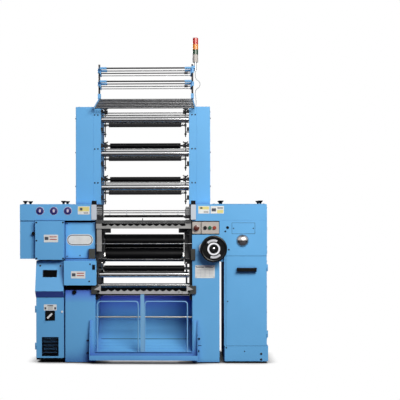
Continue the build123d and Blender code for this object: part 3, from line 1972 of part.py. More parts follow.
def belt_loop(margin, mode=Mode.ADD):
    """The loop round both pulleys, a margin outside them, over the belt's width."""
    low = motor_pulley_radius + margin
    high = main_pulley_radius + margin
    low_side = low * cos(belt_lean)
    high_side = high * cos(belt_lean)
    low_z = motor_height - low * sin(belt_lean)
    high_z = main_height - high * sin(belt_lean)
    with BuildSketch(Plane.XZ.offset(-belt_front)) as loop:
        with BuildLine():
            Line((drive_x + low_side, low_z), (drive_x + high_side, high_z))
            ThreePointArc(
                (drive_x + high_side, high_z),
                (drive_x, main_height + high),
                (drive_x - high_side, high_z),
            )
            Line((drive_x - high_side, high_z), (drive_x - low_side, low_z))
            ThreePointArc(
                (drive_x - low_side, low_z),
                (drive_x, motor_height - low),
                (drive_x + low_side, low_z),
            )
        make_face()
    extrude(loop.sketch, amount=-belt_width, mode=mode)


with BuildPart() as drive_belt:
    belt_loop(rolling_gap + belt_thickness)
    belt_loop(rolling_gap, Mode.SUBTRACT)
keep(drive_belt, "drive_belt")
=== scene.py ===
"""Crochet knitting machine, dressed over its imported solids. Metres, +Z up, front at -Y."""
import math

import bmesh
import bpy
from mathutils import Matrix, Vector


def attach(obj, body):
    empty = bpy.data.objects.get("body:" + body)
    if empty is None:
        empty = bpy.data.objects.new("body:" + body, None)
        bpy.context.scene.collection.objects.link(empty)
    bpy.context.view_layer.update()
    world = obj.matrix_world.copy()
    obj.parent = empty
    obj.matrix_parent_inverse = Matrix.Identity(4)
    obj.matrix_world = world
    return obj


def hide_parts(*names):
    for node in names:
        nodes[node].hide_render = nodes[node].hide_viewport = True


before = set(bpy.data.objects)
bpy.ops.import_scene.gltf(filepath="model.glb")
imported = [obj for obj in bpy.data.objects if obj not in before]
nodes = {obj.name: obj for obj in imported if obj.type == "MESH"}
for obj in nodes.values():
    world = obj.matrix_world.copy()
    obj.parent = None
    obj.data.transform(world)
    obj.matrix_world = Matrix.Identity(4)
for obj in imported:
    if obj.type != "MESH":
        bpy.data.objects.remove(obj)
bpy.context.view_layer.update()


# Colours are written as they look on a screen, and turned into linear values once
def tone(red, green, blue):
    """A screen colour of 0 to 255 parts as a linear colour."""
    parts = []
    for part in (red, green, blue):
        value = part / 255
        parts.append(value / 12.92 if value <= 0.04045 else ((value + 0.055) / 1.055) ** 2.4)
    return (*parts, 1.0)


def blank(name):
    """A new material, its node tree and its shader."""
    material = bpy.data.materials.new(name)
    material.use_nodes = True
    tree = material.node_tree
    shader = tree.nodes["Principled BSDF"]
    return material, tree, shader


def add_node(tree, kind, **values):
    """A node with its properties and sockets set."""
    node = tree.nodes.new(kind)
    for key, value in values.items():
        if hasattr(node, key):
            setattr(node, key, value)
        else:
            node.inputs[key.replace("_", " ")].default_value = value
    return node


def noise(tree, scale, detail=4.0, rough=0.55, stretch=(1, 1, 1)):
    """A noise pattern in the object's own metres, stretched along its axes."""
    place = add_node(tree, "ShaderNodeTexCoord")
    mapping = add_node(tree, "ShaderNodeMapping")
    mapping.inputs["Scale"].default_value = stretch
    pattern = add_node(tree, "ShaderNodeTexNoise", Scale=scale, Detail=detail, Roughness=rough)
    tree.links.new(place.outputs["Object"], mapping.inputs["Vector"])
    tree.links.new(mapping.outputs["Vector"], pattern.inputs["Vector"])
    return pattern.outputs["Fac"]


def ramp(tree, factor, stops):
    """A colour ramp over a factor."""
    node = add_node(tree, "ShaderNodeValToRGB")
    elements = node.color_ramp.elements
    while len(elements) < len(stops):
        elements.new(0.5)
    for element, (position, colour) in zip(elements, stops):
        element.position = position
        element.color = colour
    tree.links.new(factor, node.inputs["Fac"])
    return node.outputs["Color"]


def grey(value):
    """A neutral colour for a ramp."""
    return (value, value, value, 1.0)


def shade(colour, factor):
    """A colour made lighter or darker."""
    return (*[min(1.0, part * factor) for part in colour[:3]], 1.0)


def bump(tree, shader, height, strength, distance):
    """Surface relief from a height."""
    node = add_node(tree, "ShaderNodeBump", Strength=strength, Distance=distance)
    tree.links.new(height, node.inputs["Height"])
    tree.links.new(node.outputs["Normal"], shader.inputs["Normal"])


# Sockets of a mix node that mixes colours
MIX_FACTOR, MIX_ONE, MIX_TWO, MIX_RESULT = 0, 6, 7, 2


def multiply(tree, one, two):
    """Two colours multiplied."""
    node = add_node(tree, "ShaderNodeMix", data_type="RGBA", blend_type="MULTIPLY")
    node.inputs[MIX_FACTOR].default_value = 1.0
    tree.links.new(one, node.inputs[MIX_ONE])
    tree.links.new(two, node.inputs[MIX_TWO])
    return node.outputs[MIX_RESULT]


def coated(name, colour, rough=0.42, cloud=0.05, peel=0.06, corner_shade=0.6, reach=0.045, green=0.88, shade_fade=None):
    """Enamel: faint clouds, orange peel, painted shade tinted violet in the corners and recesses and, where
    given, painted shade fading up its height.
    """
    material, tree, shader = blank(name)
    clouds = [(0.3, shade(colour, 1 - cloud)), (0.7, shade(colour, 1 + cloud))]
    base = ramp(tree, noise(tree, 2.3, 5.0), clouds)
    # Painted shade: an occlusion ramp darkens the paint and tints it violet in corners, in recesses and
    # under overhangs
    corner = add_node(tree, "ShaderNodeAmbientOcclusion", samples=6, Distance=reach)
    shadow = (1 - corner_shade, (1 - corner_shade) * green, 1 - corner_shade * 0.7, 1)
    corner_shading = ramp(tree, corner.outputs["AO"], [(0.3, shadow), (0.8, grey(1.0))])
    paint = multiply(tree, base, corner_shading)
    # Painted shade over set heights, multiplied into the paint
    if shade_fade:
        place = add_node(tree, "ShaderNodeTexCoord")
        parts = add_node(tree, "ShaderNodeSeparateXYZ")
        tree.links.new(place.outputs["Object"], parts.inputs[0])
        paint = multiply(tree, paint, ramp(tree, parts.outputs["Z"], shade_fade))
    tree.links.new(paint, shader.inputs["Base Color"])
    gloss = ramp(tree, noise(tree, 9.0, 6.0), [(0.3, grey(rough - 0.05)), (0.75, grey(rough + 0.08))])
    tree.links.new(gloss, shader.inputs["Roughness"])
    bump(tree, shader, noise(tree, 420.0, 2.0), peel, 0.002)
    shader.inputs["Coat Weight"].default_value = 0.12
    shader.inputs["Coat Roughness"].default_value = 0.2
    shader.inputs["Specular IOR Level"].default_value = 0.3
    return material


def metal(name, colour, rough, stretch, scale, streak, relief=0.05, metallic=1.0):
    """Bare metal with turning or grinding marks along its stretch."""
    material, tree, shader = blank(name)
    marks = noise(tree, scale, 6.0, 0.6, stretch)
    tree.links.new(
        ramp(tree, marks, [(0.3, shade(colour, 1 - streak)), (0.7, shade(colour, 1 + streak))]),
        shader.inputs["Base Color"],
    )
    tree.links.new(
        ramp(tree, noise(tree, 14.0, 5.0), [(0.3, grey(rough * 0.8)), (0.7, grey(rough * 1.3))]),
        shader.inputs["Roughness"],
    )
    bump(tree, shader, marks, relief, 0.0008)
    shader.inputs["Metallic"].default_value = metallic
    return material


def plastic(name, colour, rough, grain, coat=0.0, scale=900.0, gloss=0.5):
    """Moulded plastic with a fine grain and a little uneven gloss."""
    material, tree, shader = blank(name)
    base = ramp(tree, noise(tree, 30.0, 4.0), [(0.3, shade(colour, 0.94)), (0.7, shade(colour, 1.06))])
    tree.links.new(base, shader.inputs["Base Color"])
    tree.links.new(
        ramp(tree, noise(tree, 45.0, 4.0), [(0.3, grey(rough - 0.04)), (0.7, grey(rough + 0.08))]),
        shader.inputs["Roughness"],
    )
    bump(tree, shader, noise(tree, scale, 2.0), grain, 0.0006)
    shader.inputs["Coat Weight"].default_value = coat
    shader.inputs["Specular IOR Level"].default_value = gloss
    return material


def lens_plastic(name, colour, deep):
    """A tinted lens: upright ribs in relief and in depth of colour."""
    material, tree, shader = blank(name)
    place = add_node(tree, "ShaderNodeTexCoord")
    ribs = add_node(tree, "ShaderNodeTexWave", wave_type="BANDS", bands_direction="Z", Scale=70.0)
    tree.links.new(place.outputs["Object"], ribs.inputs["Vector"])
    base = ramp(tree, ribs.outputs["Fac"], [(0.1, deep), (0.8, colour)])
    tree.links.new(base, shader.inputs["Base Color"])
    bump(tree, shader, ribs.outputs["Fac"], 0.25, 0.001)
    shader.inputs["Roughness"].default_value = 0.18
    shader.inputs["Coat Weight"].default_value = 0.6
    return material


# Stretches of tool marks: even, and running along X on round and on flat stock
EVEN, ROUND_STOCK, FLAT_STOCK = (1, 1, 1), (1, 40, 40), (1, 30, 30)

SKY = tone(101, 171, 222)
sky_paint = coated("sky_paint", SKY, cloud=0.035)
# Painted light: a lighter copy of the sky paint for the front cover and the service box
cover_lit_paint = coated("cover_lit_paint", shade(SKY, 1.14), cloud=0.035)
# The left column: deep, wide painted shade in its corners and under the service box's overhang
column_shade_paint = coated("column_shade_paint", SKY, cloud=0.035, corner_shade=0.9, reach=0.16, green=0.8)
# Painted shade as fades in metres up the height: a violet shadow under the service box, an indigo shadow at
# the chute's upper end
COLUMN_SHADE_FADE = [
    (0.42, grey(1.0)),
    (0.47, (0.88, 0.72, 1.0, 1)),
    (0.515, (0.6, 0.4, 0.9, 1)),
    (0.56, grey(1.0)),
]
column_front_shade = coated("column_front_shade", SKY, cloud=0.035, corner_shade=0.9, reach=0.16, green=0.8, shade_fade=COLUMN_SHADE_FADE)
# Painted shade: a dark indigo copy of the paint for the console's underside
underside_shade_paint = coated("underside_shade_paint", tone(76, 98, 190), cloud=0.035)
BAY_SHADE_FADE = [
    (0.24, grey(1.0)),
    (0.32, (0.92, 0.84, 1.0, 1)),
    (0.38, (0.72, 0.54, 0.95, 1)),
    (0.43, (0.52, 0.26, 0.8, 1)),
]
# The bay: a lighter copy of the sky paint as painted light, with a painted indigo shade fading up the chute
bay_shade_paint = coated("bay_shade_paint", shade(SKY, 1.1), cloud=0.06, corner_shade=0.5, reach=0.14, green=0.75, shade_fade=BAY_SHADE_FADE)
pale_paint = coated("pale_paint", tone(192, 201, 209), cloud=0.05, corner_shade=0.35, reach=0.02)
creel_paint = coated("creel_paint", tone(110, 170, 216), cloud=0.1, corner_shade=0.6, reach=0.012)
motor_paint = coated("motor_paint", tone(92, 104, 116), rough=0.45)
chrome = metal("turned_chrome", (0.72, 0.72, 0.73, 1), 0.10, ROUND_STOCK, 4.0, 0.02, 0.0)
steel = metal("ground_steel", (0.36, 0.365, 0.37, 1), 0.24, ROUND_STOCK, 5.0, 0.05, 0.002)
rack_steel = metal("rack_steel", (0.19, 0.19, 0.195, 1), 0.32, ROUND_STOCK, 5.0, 0.08, 0.002)
dark_steel = metal("black_steel", (0.016, 0.016, 0.018, 1), 0.45, (20, 1, 1), 5.0, 0.2, 0.01, 0.5)
zinc = metal("zinc_plate", (0.48, 0.49, 0.50, 1), 0.34, EVEN, 22.0, 0.12)
aluminium = metal("milled_aluminium", (0.39, 0.39, 0.38, 1), 0.36, FLAT_STOCK, 8.0, 0.07, 0.01, 0.5)
bright_aluminium = metal("bright_aluminium", (0.60, 0.60, 0.60, 1), 0.34, FLAT_STOCK, 8.0, 0.07, 0.01, 0.5)
dome_steel = metal("dome_steel", (0.52, 0.50, 0.50, 1), 0.24, EVEN, 12.0, 0.12, 0.0)
# Black for the vent grille, and black as painted shade in recesses, gaps and under overhangs
black_and_shadow = plastic("black_and_shadow", tone(3, 3, 4), 0.6, 0.02, gloss=0.05)
rod_steel = metal("rod_steel", (0.50, 0.49, 0.44, 1), 0.34, ROUND_STOCK, 5.0, 0.03, 0.0)
casting = coated("oiled_casting", tone(30, 31, 34), rough=0.45, cloud=0.25, peel=0.25, corner_shade=0.5, reach=0.02)
cast_grey = coated("grey_casting", tone(64, 66, 62), rough=0.45, cloud=0.2, peel=0.25, corner_shade=0.5, reach=0.02)
rubber = plastic("ground_rubber", tone(4, 4, 6), 0.36, 0.02, scale=600.0, gloss=0.13)
cable_jacket = plastic("cable_jacket", tone(168, 172, 172), 0.4, 0.05)
felt = plastic("clearer_felt", tone(40, 40, 41), 0.9, 0.6, scale=500.0, gloss=0.1)
black_plastic = plastic("black_plastic", tone(8, 9, 11), 0.42, 0.15, gloss=0.15)
wheel_plastic = plastic("wheel_plastic", tone(7, 7, 9), 0.3, 0.04, 0.15, gloss=0.3)
grey_plastic = plastic("grey_plastic", tone(176, 170, 163), 0.45, 0.12)
red_plastic = plastic("red_plastic", tone(86, 38, 28), 0.3, 0.04, 0.3)
button_red = plastic("button_red", tone(146, 60, 46), 0.3, 0.04, 0.3)
button_green = plastic("button_green", tone(30, 96, 66), 0.3, 0.04, 0.3)
button_black = plastic("button_black", tone(14, 14, 16), 0.3, 0.04, 0.3)
red_lens = lens_plastic("red_lens", tone(206, 66, 54), tone(150, 20, 26))
amber_lens = lens_plastic("amber_lens", tone(236, 158, 66), tone(206, 110, 40))
green_lens = lens_plastic("green_lens", tone(34, 78, 48), tone(8, 36, 22))
guard_paint = coated("guard_paint", tone(122, 176, 216), cloud=0.05, corner_shade=0.3, reach=0.01)
pale_plastic = plastic("pale_plastic", tone(214, 218, 220), 0.35, 0.06)
wheel_white = plastic("wheel_white", tone(232, 234, 238), 0.35, 0.05)
wheel_pale = plastic("wheel_pale", tone(196, 198, 202), 0.4, 0.05)
display = plastic("display_glass", tone(3, 4, 5), 0.45, 0.01, gloss=0.03)
sign_white = plastic("sign_white", tone(222, 224, 220), 0.4, 0.03)
sign_yellow = plastic("sign_yellow", tone(220, 210, 132), 0.4, 0.03)
sign_grey = plastic("sign_grey", tone(70, 74, 84), 0.4, 0.03)
sign_pale = plastic("sign_pale", tone(176, 182, 190), 0.4, 0.03)
sign_red = plastic("sign_red", tone(176, 92, 84), 0.4, 0.03)
sign_navy = plastic("sign_navy", tone(40, 38, 104), 0.35, 0.03)
sign_rim = plastic("sign_rim", tone(206, 196, 214), 0.35, 0.03)

node_paint = {
    "levelling_feet": dark_steel,
    "left_column": column_shade_paint,
    "right_column": sky_paint,
    "side_frames": casting,
    "left_head_housing": sky_paint,
    "right_head_housing": sky_paint,
    "head_end_caps": pale_paint,
    "left_gear_cover": sky_paint,
    "left_front_cover": cover_lit_paint,
    "service_box": cover_lit_paint,
    "control_console": sky_paint,
    "electrical_cabinet": sky_paint,
    "electrical_plate": zinc,
    "electrical_door": sky_paint,
    "isolator_knob": black_plastic,
    "right_cabinet": sky_paint,
    "cabinet_door": sky_paint,
    "door_handle": black_plastic,
    "inspection_dome": dome_steel,
    "button_panel": grey_plastic,
    "emergency_stop": red_plastic,
    "push_button_black": button_black,
    "push_button_green": button_green,
    "push_button_red": button_red,
    "handwheel": wheel_plastic,
    "left_tower": sky_paint,
    "right_tower": sky_paint,
    "feed_roller_1": chrome,
    "feed_roller_2": chrome,
    "feed_roller_3": chrome,
    "press_roller_2": rubber,
    "press_roller_3": rubber,
    "press_levers": dark_steel,
    "clearer_rods": felt,
    "guide_rods": steel,
    "creel_frame": creel_paint,
    "creel_rods": dark_steel,
    "lamp_base": grey_plastic,
    "lamp_red": red_lens,
    "lamp_amber": amber_lens,
    "lamp_green": green_lens,
    "upper_comb_bar": aluminium,
    "lower_comb_bar": bright_aluminium,
    "needle_bar": steel,
    "weft_bars": steel,
    "bearing_brackets": casting,
    "take_down_roller_upper": rubber,
    "take_down_roller_lower": rubber,
    "nip_roller_upper": rubber,
    "nip_roller_lower": chrome,
    "steel_roller": steel,
    "fabric_roller": rod_steel,
    "catch_tray": bay_shade_paint,
    "guard_frame": guard_paint,
    "cover_knobs": black_plastic,
    "motor": motor_paint,
    "motor_pulley": casting,
    "main_pulley": casting,
    "drive_belt": rubber,
}

# Rounding of the solids' edges, in millimetres
soft_edges = {
    "left_column": 2.5,
    "right_column": 2.5,
    "left_head_housing": 2.5,
    "right_head_housing": 2.0,
    "head_end_caps": 1.5,
    "left_gear_cover": 2.0,
    "left_front_cover": 1.5,
    "service_box": 2.0,
    "control_console": 2.0,
    "electrical_door": 0.8,
    "cabinet_door": 0.8,
    "door_handle": 1.5,
    "left_tower": 2.5,
    "right_tower": 2.5,
    "button_panel": 1.0,
    "creel_frame": 0.8,
    "catch_tray": 0.6,
    "guard_frame": 0.6,
    "upper_comb_bar": 0.8,
    "lower_comb_bar": 0.8,
    "needle_bar": 0.8,
    "bearing_brackets": 1.0,
    "side_frames": 1.5,
    "isolator_knob": 1.0,
    "cover_knobs": 0.8,
    "press_levers": 0.6,
    "motor": 1.0,
}


def smooth(mesh, angle=32.0):
    """Smooth shading that keeps edges sharper than the angle."""
    mesh.shade_smooth()
    mesh.set_sharp_from_angle(angle=math.radians(angle))


def soften(obj, width):
    """Rounds an object's sharp edges, by a width in millimetres."""
    bevel = obj.modifiers.new("soft_edges", "BEVEL")
    bevel.width = width / 1000
    bevel.segments = 2
    bevel.limit_method = "ANGLE"
    bevel.angle_limit = math.radians(40)
    bevel.harden_normals = True


for name, obj in nodes.items():
    if name not in node_paint:
        continue
    obj.data.materials.clear()
    obj.data.materials.append(node_paint[name])
    smooth(obj.data)
    if name in soft_edges:
        weld = obj.modifiers.new("weld", "WELD")
        weld.merge_threshold = 0.00001
        flat = obj.modifiers.new("flat_faces", "DECIMATE")
        flat.decimate_type = "DISSOLVE"
        flat.angle_limit = math.radians(0.4)
        flat.delimit = {"MATERIAL", "SHARP"}
        soften(obj, soft_edges[name])
        level = obj.modifiers.new("flat_normals", "WEIGHTED_NORMAL")
        level.keep_sharp = True


# Camera: it stands a little right of the middle and looks slightly to the left
CAMERA_PLACE = Vector((0.2909, -7.4650, 1.0650))
CAMERA_YAW = math.radians(1.5)
CAMERA_ROLL = math.radians(-0.077)
PICTURE_WIDTH, FOCAL_LENGTH = 400, 1026.1  # in pixels of the photo
SENSOR_WIDTH = 36.0
camera_data = bpy.data.cameras.new("camera")
camera_data.sensor_width = SENSOR_WIDTH
camera_data.lens = FOCAL_LENGTH * SENSOR_WIDTH / PICTURE_WIDTH
camera_data.shift_x = 41.67 / PICTURE_WIDTH
camera_data.shift_y = 10.78 / PICTURE_WIDTH
camera_data.clip_end = 60.0
camera = bpy.data.objects.new("camera", camera_data)
bpy.context.scene.collection.objects.link(camera)
look = Vector((-math.sin(CAMERA_YAW), math.cos(CAMERA_YAW), 0))
right = Vector((math.cos(CAMERA_YAW), math.sin(CAMERA_YAW), 0))
up = right.cross(look)
right, up = (
    math.cos(CAMERA_ROLL) * right + math.sin(CAMERA_ROLL) * up,
    math.cos(CAMERA_ROLL) * up - math.sin(CAMERA_ROLL) * right,
)
turn = Matrix((right, up, -look)).transposed().to_4x4()
camera.matrix_world = Matrix.Translation(CAMERA_PLACE) @ turn
bpy.context.scene.camera = camera

# Lamp cable: one smooth line from the stem to the gland on the tower
CABLE_RADIUS = 0.0025
CABLE_POINTS = [
    (0.3670, 0.1400, 2.1000),
    (0.3670, 0.1400, 2.0760),
    (0.3680, 0.1400, 2.0500),
    (0.3770, 0.1390, 2.0344),
    (0.3926, 0.1375, 2.0254),
    (0.4016, 0.1360, 2.0098),
    (0.4016, 0.1355, 1.9918),
    (0.3926, 0.1365, 1.9762),
    (0.3770, 0.1380, 1.9672),
    (0.3680, 0.1395, 1.9516),
    (0.3670, 0.1405, 1.9250),
    (0.3710, 0.1410, 1.8980),
    (0.3738, 0.1405, 1.8720),
    (0.3720, 0.1400, 1.8520),
    (0.3720, 0.1400, 1.8360),
]
cable_curve = bpy.data.curves.new("lamp_cable_line", "CURVE")
cable_curve.dimensions = "3D"
spline = cable_curve.splines.new("NURBS")
spline.points.add(len(CABLE_POINTS) - 1)
for point, place in zip(spline.points, CABLE_POINTS):
    point.co = (*place, 1.0)
spline.order_u = 3
spline.use_endpoint_u = True
spline.resolution_u = 8
cable_curve.bevel_depth = CABLE_RADIUS
cable_curve.bevel_resolution = 4
cable_curve.materials.append(cable_jacket)
lamp_cable = bpy.data.objects.new("lamp_cable_line", cable_curve)
bpy.context.scene.collection.objects.link(lamp_cable)
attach(lamp_cable, "machine")
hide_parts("lamp_cable")


# Mesh builders, all in millimetres; a piece is scaled to metres when it is finished
TURNS = {
    "front": Matrix.Identity(3),
    "back": Matrix.Rotation(math.pi, 3, "Z"),
    "right": Matrix.Rotation(math.pi / 2, 3, "Z"),
    "left": Matrix.Rotation(-math.pi / 2, 3, "Z"),
    "top": Matrix.Rotation(-math.pi / 2, 3, "X"),
}


# Directions, toward the front and up
FORWARD, UPWARD = (0, -1, 0), (0, 0, 1)

# A sign plate's thickness, and how far its fields stand out of the face under it
SIGN_THICK, FIELD_LIFT, FIELD_THICK = 0.8, 1.1, 0.6


def span(side, one, two):
    """Two distances from the middle to one side, as low and high."""
    return sorted((side * one, side * two))


class Piece:
    """A mesh under construction that ends as one named piece on one body."""

    def __init__(self, name, material, body="machine"):
        self.name = name
        self.material = material
        self.body = body
        self.mesh = bmesh.new()
        self.turn = TURNS["front"]

    def face(self, side):
        """Turns what is drawn next from the front to another side."""
        self.turn = TURNS[side]

    def ring(self, points):
        """New vertices at these places."""
        return [self.mesh.verts.new(self.turn @ Vector(point)) for point in points]

    def skin(self, rings, caps=True):
        """Faces between successive rings of equal length, with flat caps at both ends."""
        for one, two in zip(rings, rings[1:]):
            for index in range(len(one)):
                after = (index + 1) % len(one)
                self.mesh.faces.new((one[index], one[after], two[after], two[index]))
        if caps:
            self.mesh.faces.new(list(reversed(rings[0])))
            self.mesh.faces.new(rings[-1])

    def plate(self, x_low, x_high, z_low, z_high, y_front, depth, corner, edge, steps=4):
        """A round-cornered plate that faces the front, with a softened front edge."""
        def outline(inset, y):
            radius = max(corner - inset, 0.2)
            points = []
            for x, z, start in (
                (x_high - inset - radius, z_high - inset - radius, 0),
                (x_low + inset + radius, z_high - inset - radius, 90),
                (x_low + inset + radius, z_low + inset + radius, 180),
                (x_high - inset - radius, z_low + inset + radius, 270),
            ):
                for step in range(steps + 1):
                    angle = math.radians(start + 90 * step / steps)
                    points.append((x + radius * math.cos(angle), y, z + radius * math.sin(angle)))
            return self.ring(points)

        edge = min(edge, depth * 0.8)
        self.skin([outline(0, y_front + depth), outline(0, y_front + edge), outline(edge * 0.7, y_front)])

    def sign(self, x_low, x_high, z_low, z_high, y_face):
        """A blank sign plate on a face."""
        self.plate(x_low, x_high, z_low, z_high, y_face - SIGN_THICK, SIGN_THICK, 3, 0.3)

    def field(self, x_low, x_high, z_low, z_high, y_face, corner=1.4, lift=FIELD_LIFT):
        """A blank field or bar on a sign, measured from the face under the sign."""
        self.plate(x_low, x_high, z_low, z_high, y_face - lift, FIELD_THICK, corner, 0.2)

    def circle(self, place, side, other, radius, steps):
        """A ring about a place, in the plane of two directions."""
        angles = [math.tau * step / steps for step in range(steps)]
        return self.ring(
            place + (side * math.cos(angle) + other * math.sin(angle)) * radius for angle in angles
        )

    def circles(self, origin, axis, profile, steps):
        """Rings for (radius, distance along the axis) pairs about an axis through the origin."""
        axis = Vector(axis).normalized()
        side = axis.orthogonal().normalized()
        other = axis.cross(side)
        return [
            self.circle(Vector(origin) + axis * along, side, other, radius, steps)
            for radius, along in profile
        ]

    def turned(self, origin, axis, profile, steps):
        """A turned form with closed ends, from (radius, distance along the axis) pairs."""
        self.skin(self.circles(origin, axis, profile, steps))

    def washer(self, origin, axis, inner, outer, depth, steps):
        """A flat ring about an axis, its front edges softened."""
        edge = 0.4
        profile = [
            (inner, 0),
            (outer, 0),
            (outer, depth - edge),
            (outer - edge, depth),
            (inner + edge, depth),
            (inner, depth - edge),
        ]
        rings = self.circles(origin, axis, profile, steps)
        self.skin(rings + [rings[0]], caps=False)

    def screw(self, x, z, y_face, radius=4.0, height=2.2):
        """A domed screw head with a hexagon socket, on a face."""
        self.turned(
            (x, y_face, z),
            FORWARD,
            [
                (radius, 0),
                (radius, height * 0.55),
                (radius * 0.85, height * 0.88),
                (radius * 0.55, height),
                (radius * 0.48, height * 0.55),
                (radius * 0.05, height * 0.5),
            ],
            18,
        )

    def bolt(self, origin, toward, radius, height):
        """A hexagon bolt head on its washer."""
        self.turned(origin, toward, [(radius * 1.35, 0), (radius * 1.35, 1.0), (radius * 1.2, 1.4)], 24)
        lift = Vector(origin) + Vector(toward).normalized() * 1.2
        self.turned(
            lift,
            toward,
            [(radius, 0), (radius, height * 0.8), (radius * 0.86, height), (radius * 0.1, height)],
            6,
        )

    def bar(self, corner_low, corner_high):
        """A plain bar between two corners."""
        (x0, y0, z0), (x1, y1, z1) = corner_low, corner_high
        self.skin(
            [
                self.ring([(x0, y0, z0), (x1, y0, z0), (x1, y1, z0), (x0, y1, z0)]),
                self.ring([(x0, y0, z1), (x1, y0, z1), (x1, y1, z1), (x0, y1, z1)]),
            ]
        )

    def border(self, x_low, x_high, z_low, z_high, wide, y_front, y_back):
        """Four bars around an opening."""
        for x0, x1, z0, z1 in (
            (x_low, x_high, z_low, z_low + wide),
            (x_low, x_high, z_high - wide, z_high),
            (x_low, x_low + wide, z_low + wide, z_high - wide),
            (x_high - wide, x_high, z_low + wide, z_high - wide),
        ):
            self.bar((x0, y_front, z0), (x1, y_back, z1))

    def strip(self, x_low, x_high, section):
        """A section of (y, z) points run along X."""
        self.skin([self.ring((x, y, z) for y, z in section) for x in (x_low, x_high)])

    def louvre(self, x_low, x_high, z, y_face):
        """A pressed louvre: a hood that opens downwards, its ends drawn in."""
        rise, out = 9.0, 4.5
        start = [(x_low, 0.05), (x_low + 2, 0.8), (x_low + 5, 1)]
        stop = [(x_high - 5, 1), (x_high - 2, 0.8), (x_high, 0.05)]
        rings = []
        for x, share in start + stop:
            front = y_face - out * share
            hood = [(x, y_face, z + rise), (x, front, z + 2.5), (x, front, z), (x, y_face, z)]
            rings.append(self.ring(hood))
        self.skin(rings)

    def tube(self, points, radius):
        """A round bar bent along points."""
        places = [Vector(point) for point in points]
        rings = []
        side = None
        for index, place in enumerate(places):
            ahead = places[min(index + 1, len(places) - 1)] - places[max(index - 1, 0)]
            ahead.normalize()
            if side is None:
                side = ahead.orthogonal().normalized()
            side = (side - ahead * side.dot(ahead)).normalized()
            other = ahead.cross(side)
            rings.append(self.circle(place, side, other, radius, 12))
        self.skin(rings)

    def done(self, bevel=0.0):
        """Turns the mesh into a piece that rides on its body."""
        bmesh.ops.recalc_face_normals(self.mesh, faces=self.mesh.faces)
        bmesh.ops.scale(self.mesh, vec=(0.001, 0.001, 0.001), verts=self.mesh.verts)
        data = bpy.data.meshes.new(self.name)
        self.mesh.to_mesh(data)
        self.mesh.free()
        smooth(data, 35.0)
        data.materials.append(self.material)
        obj = bpy.data.objects.new(self.name, data)
        bpy.context.scene.collection.objects.link(obj)
        if bevel:
            soften(obj, bevel)
        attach(obj, self.body)


# Carrying faces along Y, then the handwheel's middle, the feed sets and the creel levels, in millimetres
BAND_FACE = -300.0
COLUMN_FACE = -290.0
GEAR_COVER_FACE = -322.0
FRONT_COVER_FACE = -268.0
SERVICE_FACE = -335.0
TOWER_FACE = -40.0
WHEEL_FACE = -372.0
COMB_FACE = -306.0
GUIDE_FACE = -261.0
WHEEL_X, WHEEL_Z = 488.0, 801.0
FEED_LEVELS = (1727.0, 1481.0, 1235.0)
CREEL_UPPER, CREEL_LOWER = 2103, 2006


def region(node, material, low, high):
    """Gives the faces of a solid whose middles lie in a box, in millimetres, another material."""
    data = nodes[node].data
    index = data.materials.find(material.name)
    if index < 0:
        data.materials.append(material)
        index = len(data.materials) - 1
    low = Vector(low) / 1000
    high = Vector(high) / 1000
    for face in data.polygons:
        if all(low[k] <= face.center[k] <= high[k] for k in range(3)):
            face.material_index = index


# Right head: the recess of the button boxes, painted black as shade, and the handwheel's boss
region("right_head_housing", black_and_shadow, (338, -289.5, 897), (531, -261, 995))
region("right_head_housing", pale_paint, (370, -299, 750), (545, -290.5, 860))
# Electrical side: the lock, the switch plate, the grip of its knob and the strip at the cabinet's foot
region("electrical_door", pale_plastic, (-583, -296, 349), (-563, -290.2, 367))
region("electrical_door", black_plastic, (-692, -295, 296), (-622, -290.2, 366))
region("isolator_knob", pale_plastic, (-690, -321, 300), (-630, -304.1, 362))
region("electrical_cabinet", black_plastic, (-757, -276, 19.9), (-559, 60, 31.5))
# Left column's front with its painted shade fade, and the console's underside in painted shade
region("left_column", column_front_shade, (-553, -290.5, 5), (-338, -289.5, 1112))
region("control_console", underside_shade_paint, (-757, -332, 460), (-559, -291, 504))
# Weft bars: the black bar, the two rods and the five clips on them
region("weft_bars", black_plastic, (-281, -255, 1017), (281, -245, 1037))
region("weft_bars", rack_steel, (-306, -254.1, 1047), (306, -245.9, 1070))
for x in (-240, -120, 0, 120, 240):
    region("weft_bars", pale_plastic, (x - 4.2, -253.1, 1037), (x + 4.2, -246.9, 1073))
# Signal lamp: the lower stem, and the blue arm that clamps it to the upright
region("lamp_base", zinc, (330, 110, 2090), (400, 170, 2160))
region("lamp_base", creel_paint, (340, 120, 2115), (367, 160, 2145))
# Beds behind the teeth of both comb bars
for comb, low, side_reach in (("upper_comb_bar", 941, 292), ("lower_comb_bar", 484, 300)):
    region(comb, black_plastic, (-side_reach, -294.1, low + 7.9), (side_reach, -285.9, low + 36))
# Castings beside the take-down rollers
region("bearing_brackets", cast_grey, (-390, -303, 715), (-338, -260, 802))
region("bearing_brackets", cast_grey, (328, -303, 715), (365, -289, 802))
for side in (-1, 1):
    # Lower comb: its end blocks, and the gaps between them and the teeth
    near, far = span(side, 326, 370)
    region("lower_comb_bar", cast_grey, (near, -312, 480), (far, -285, 545))
    near, far = span(side, 306.5, 325.5)
    region("lower_comb_bar", black_plastic, (near, -311, 492), (far, -306.1, 512))
    # Uprights of the creel, and the bare ends of the clearer rods
    near, far = span(side, 337.9, 352.1)
    region("creel_frame", dark_steel, (near, 132.9, 1933), (far, 147.1, 2150.1))
    near, far = span(side, 264.5, 287)
    region("clearer_rods", steel, (near, -9, 1180), (far, 9, 1705))
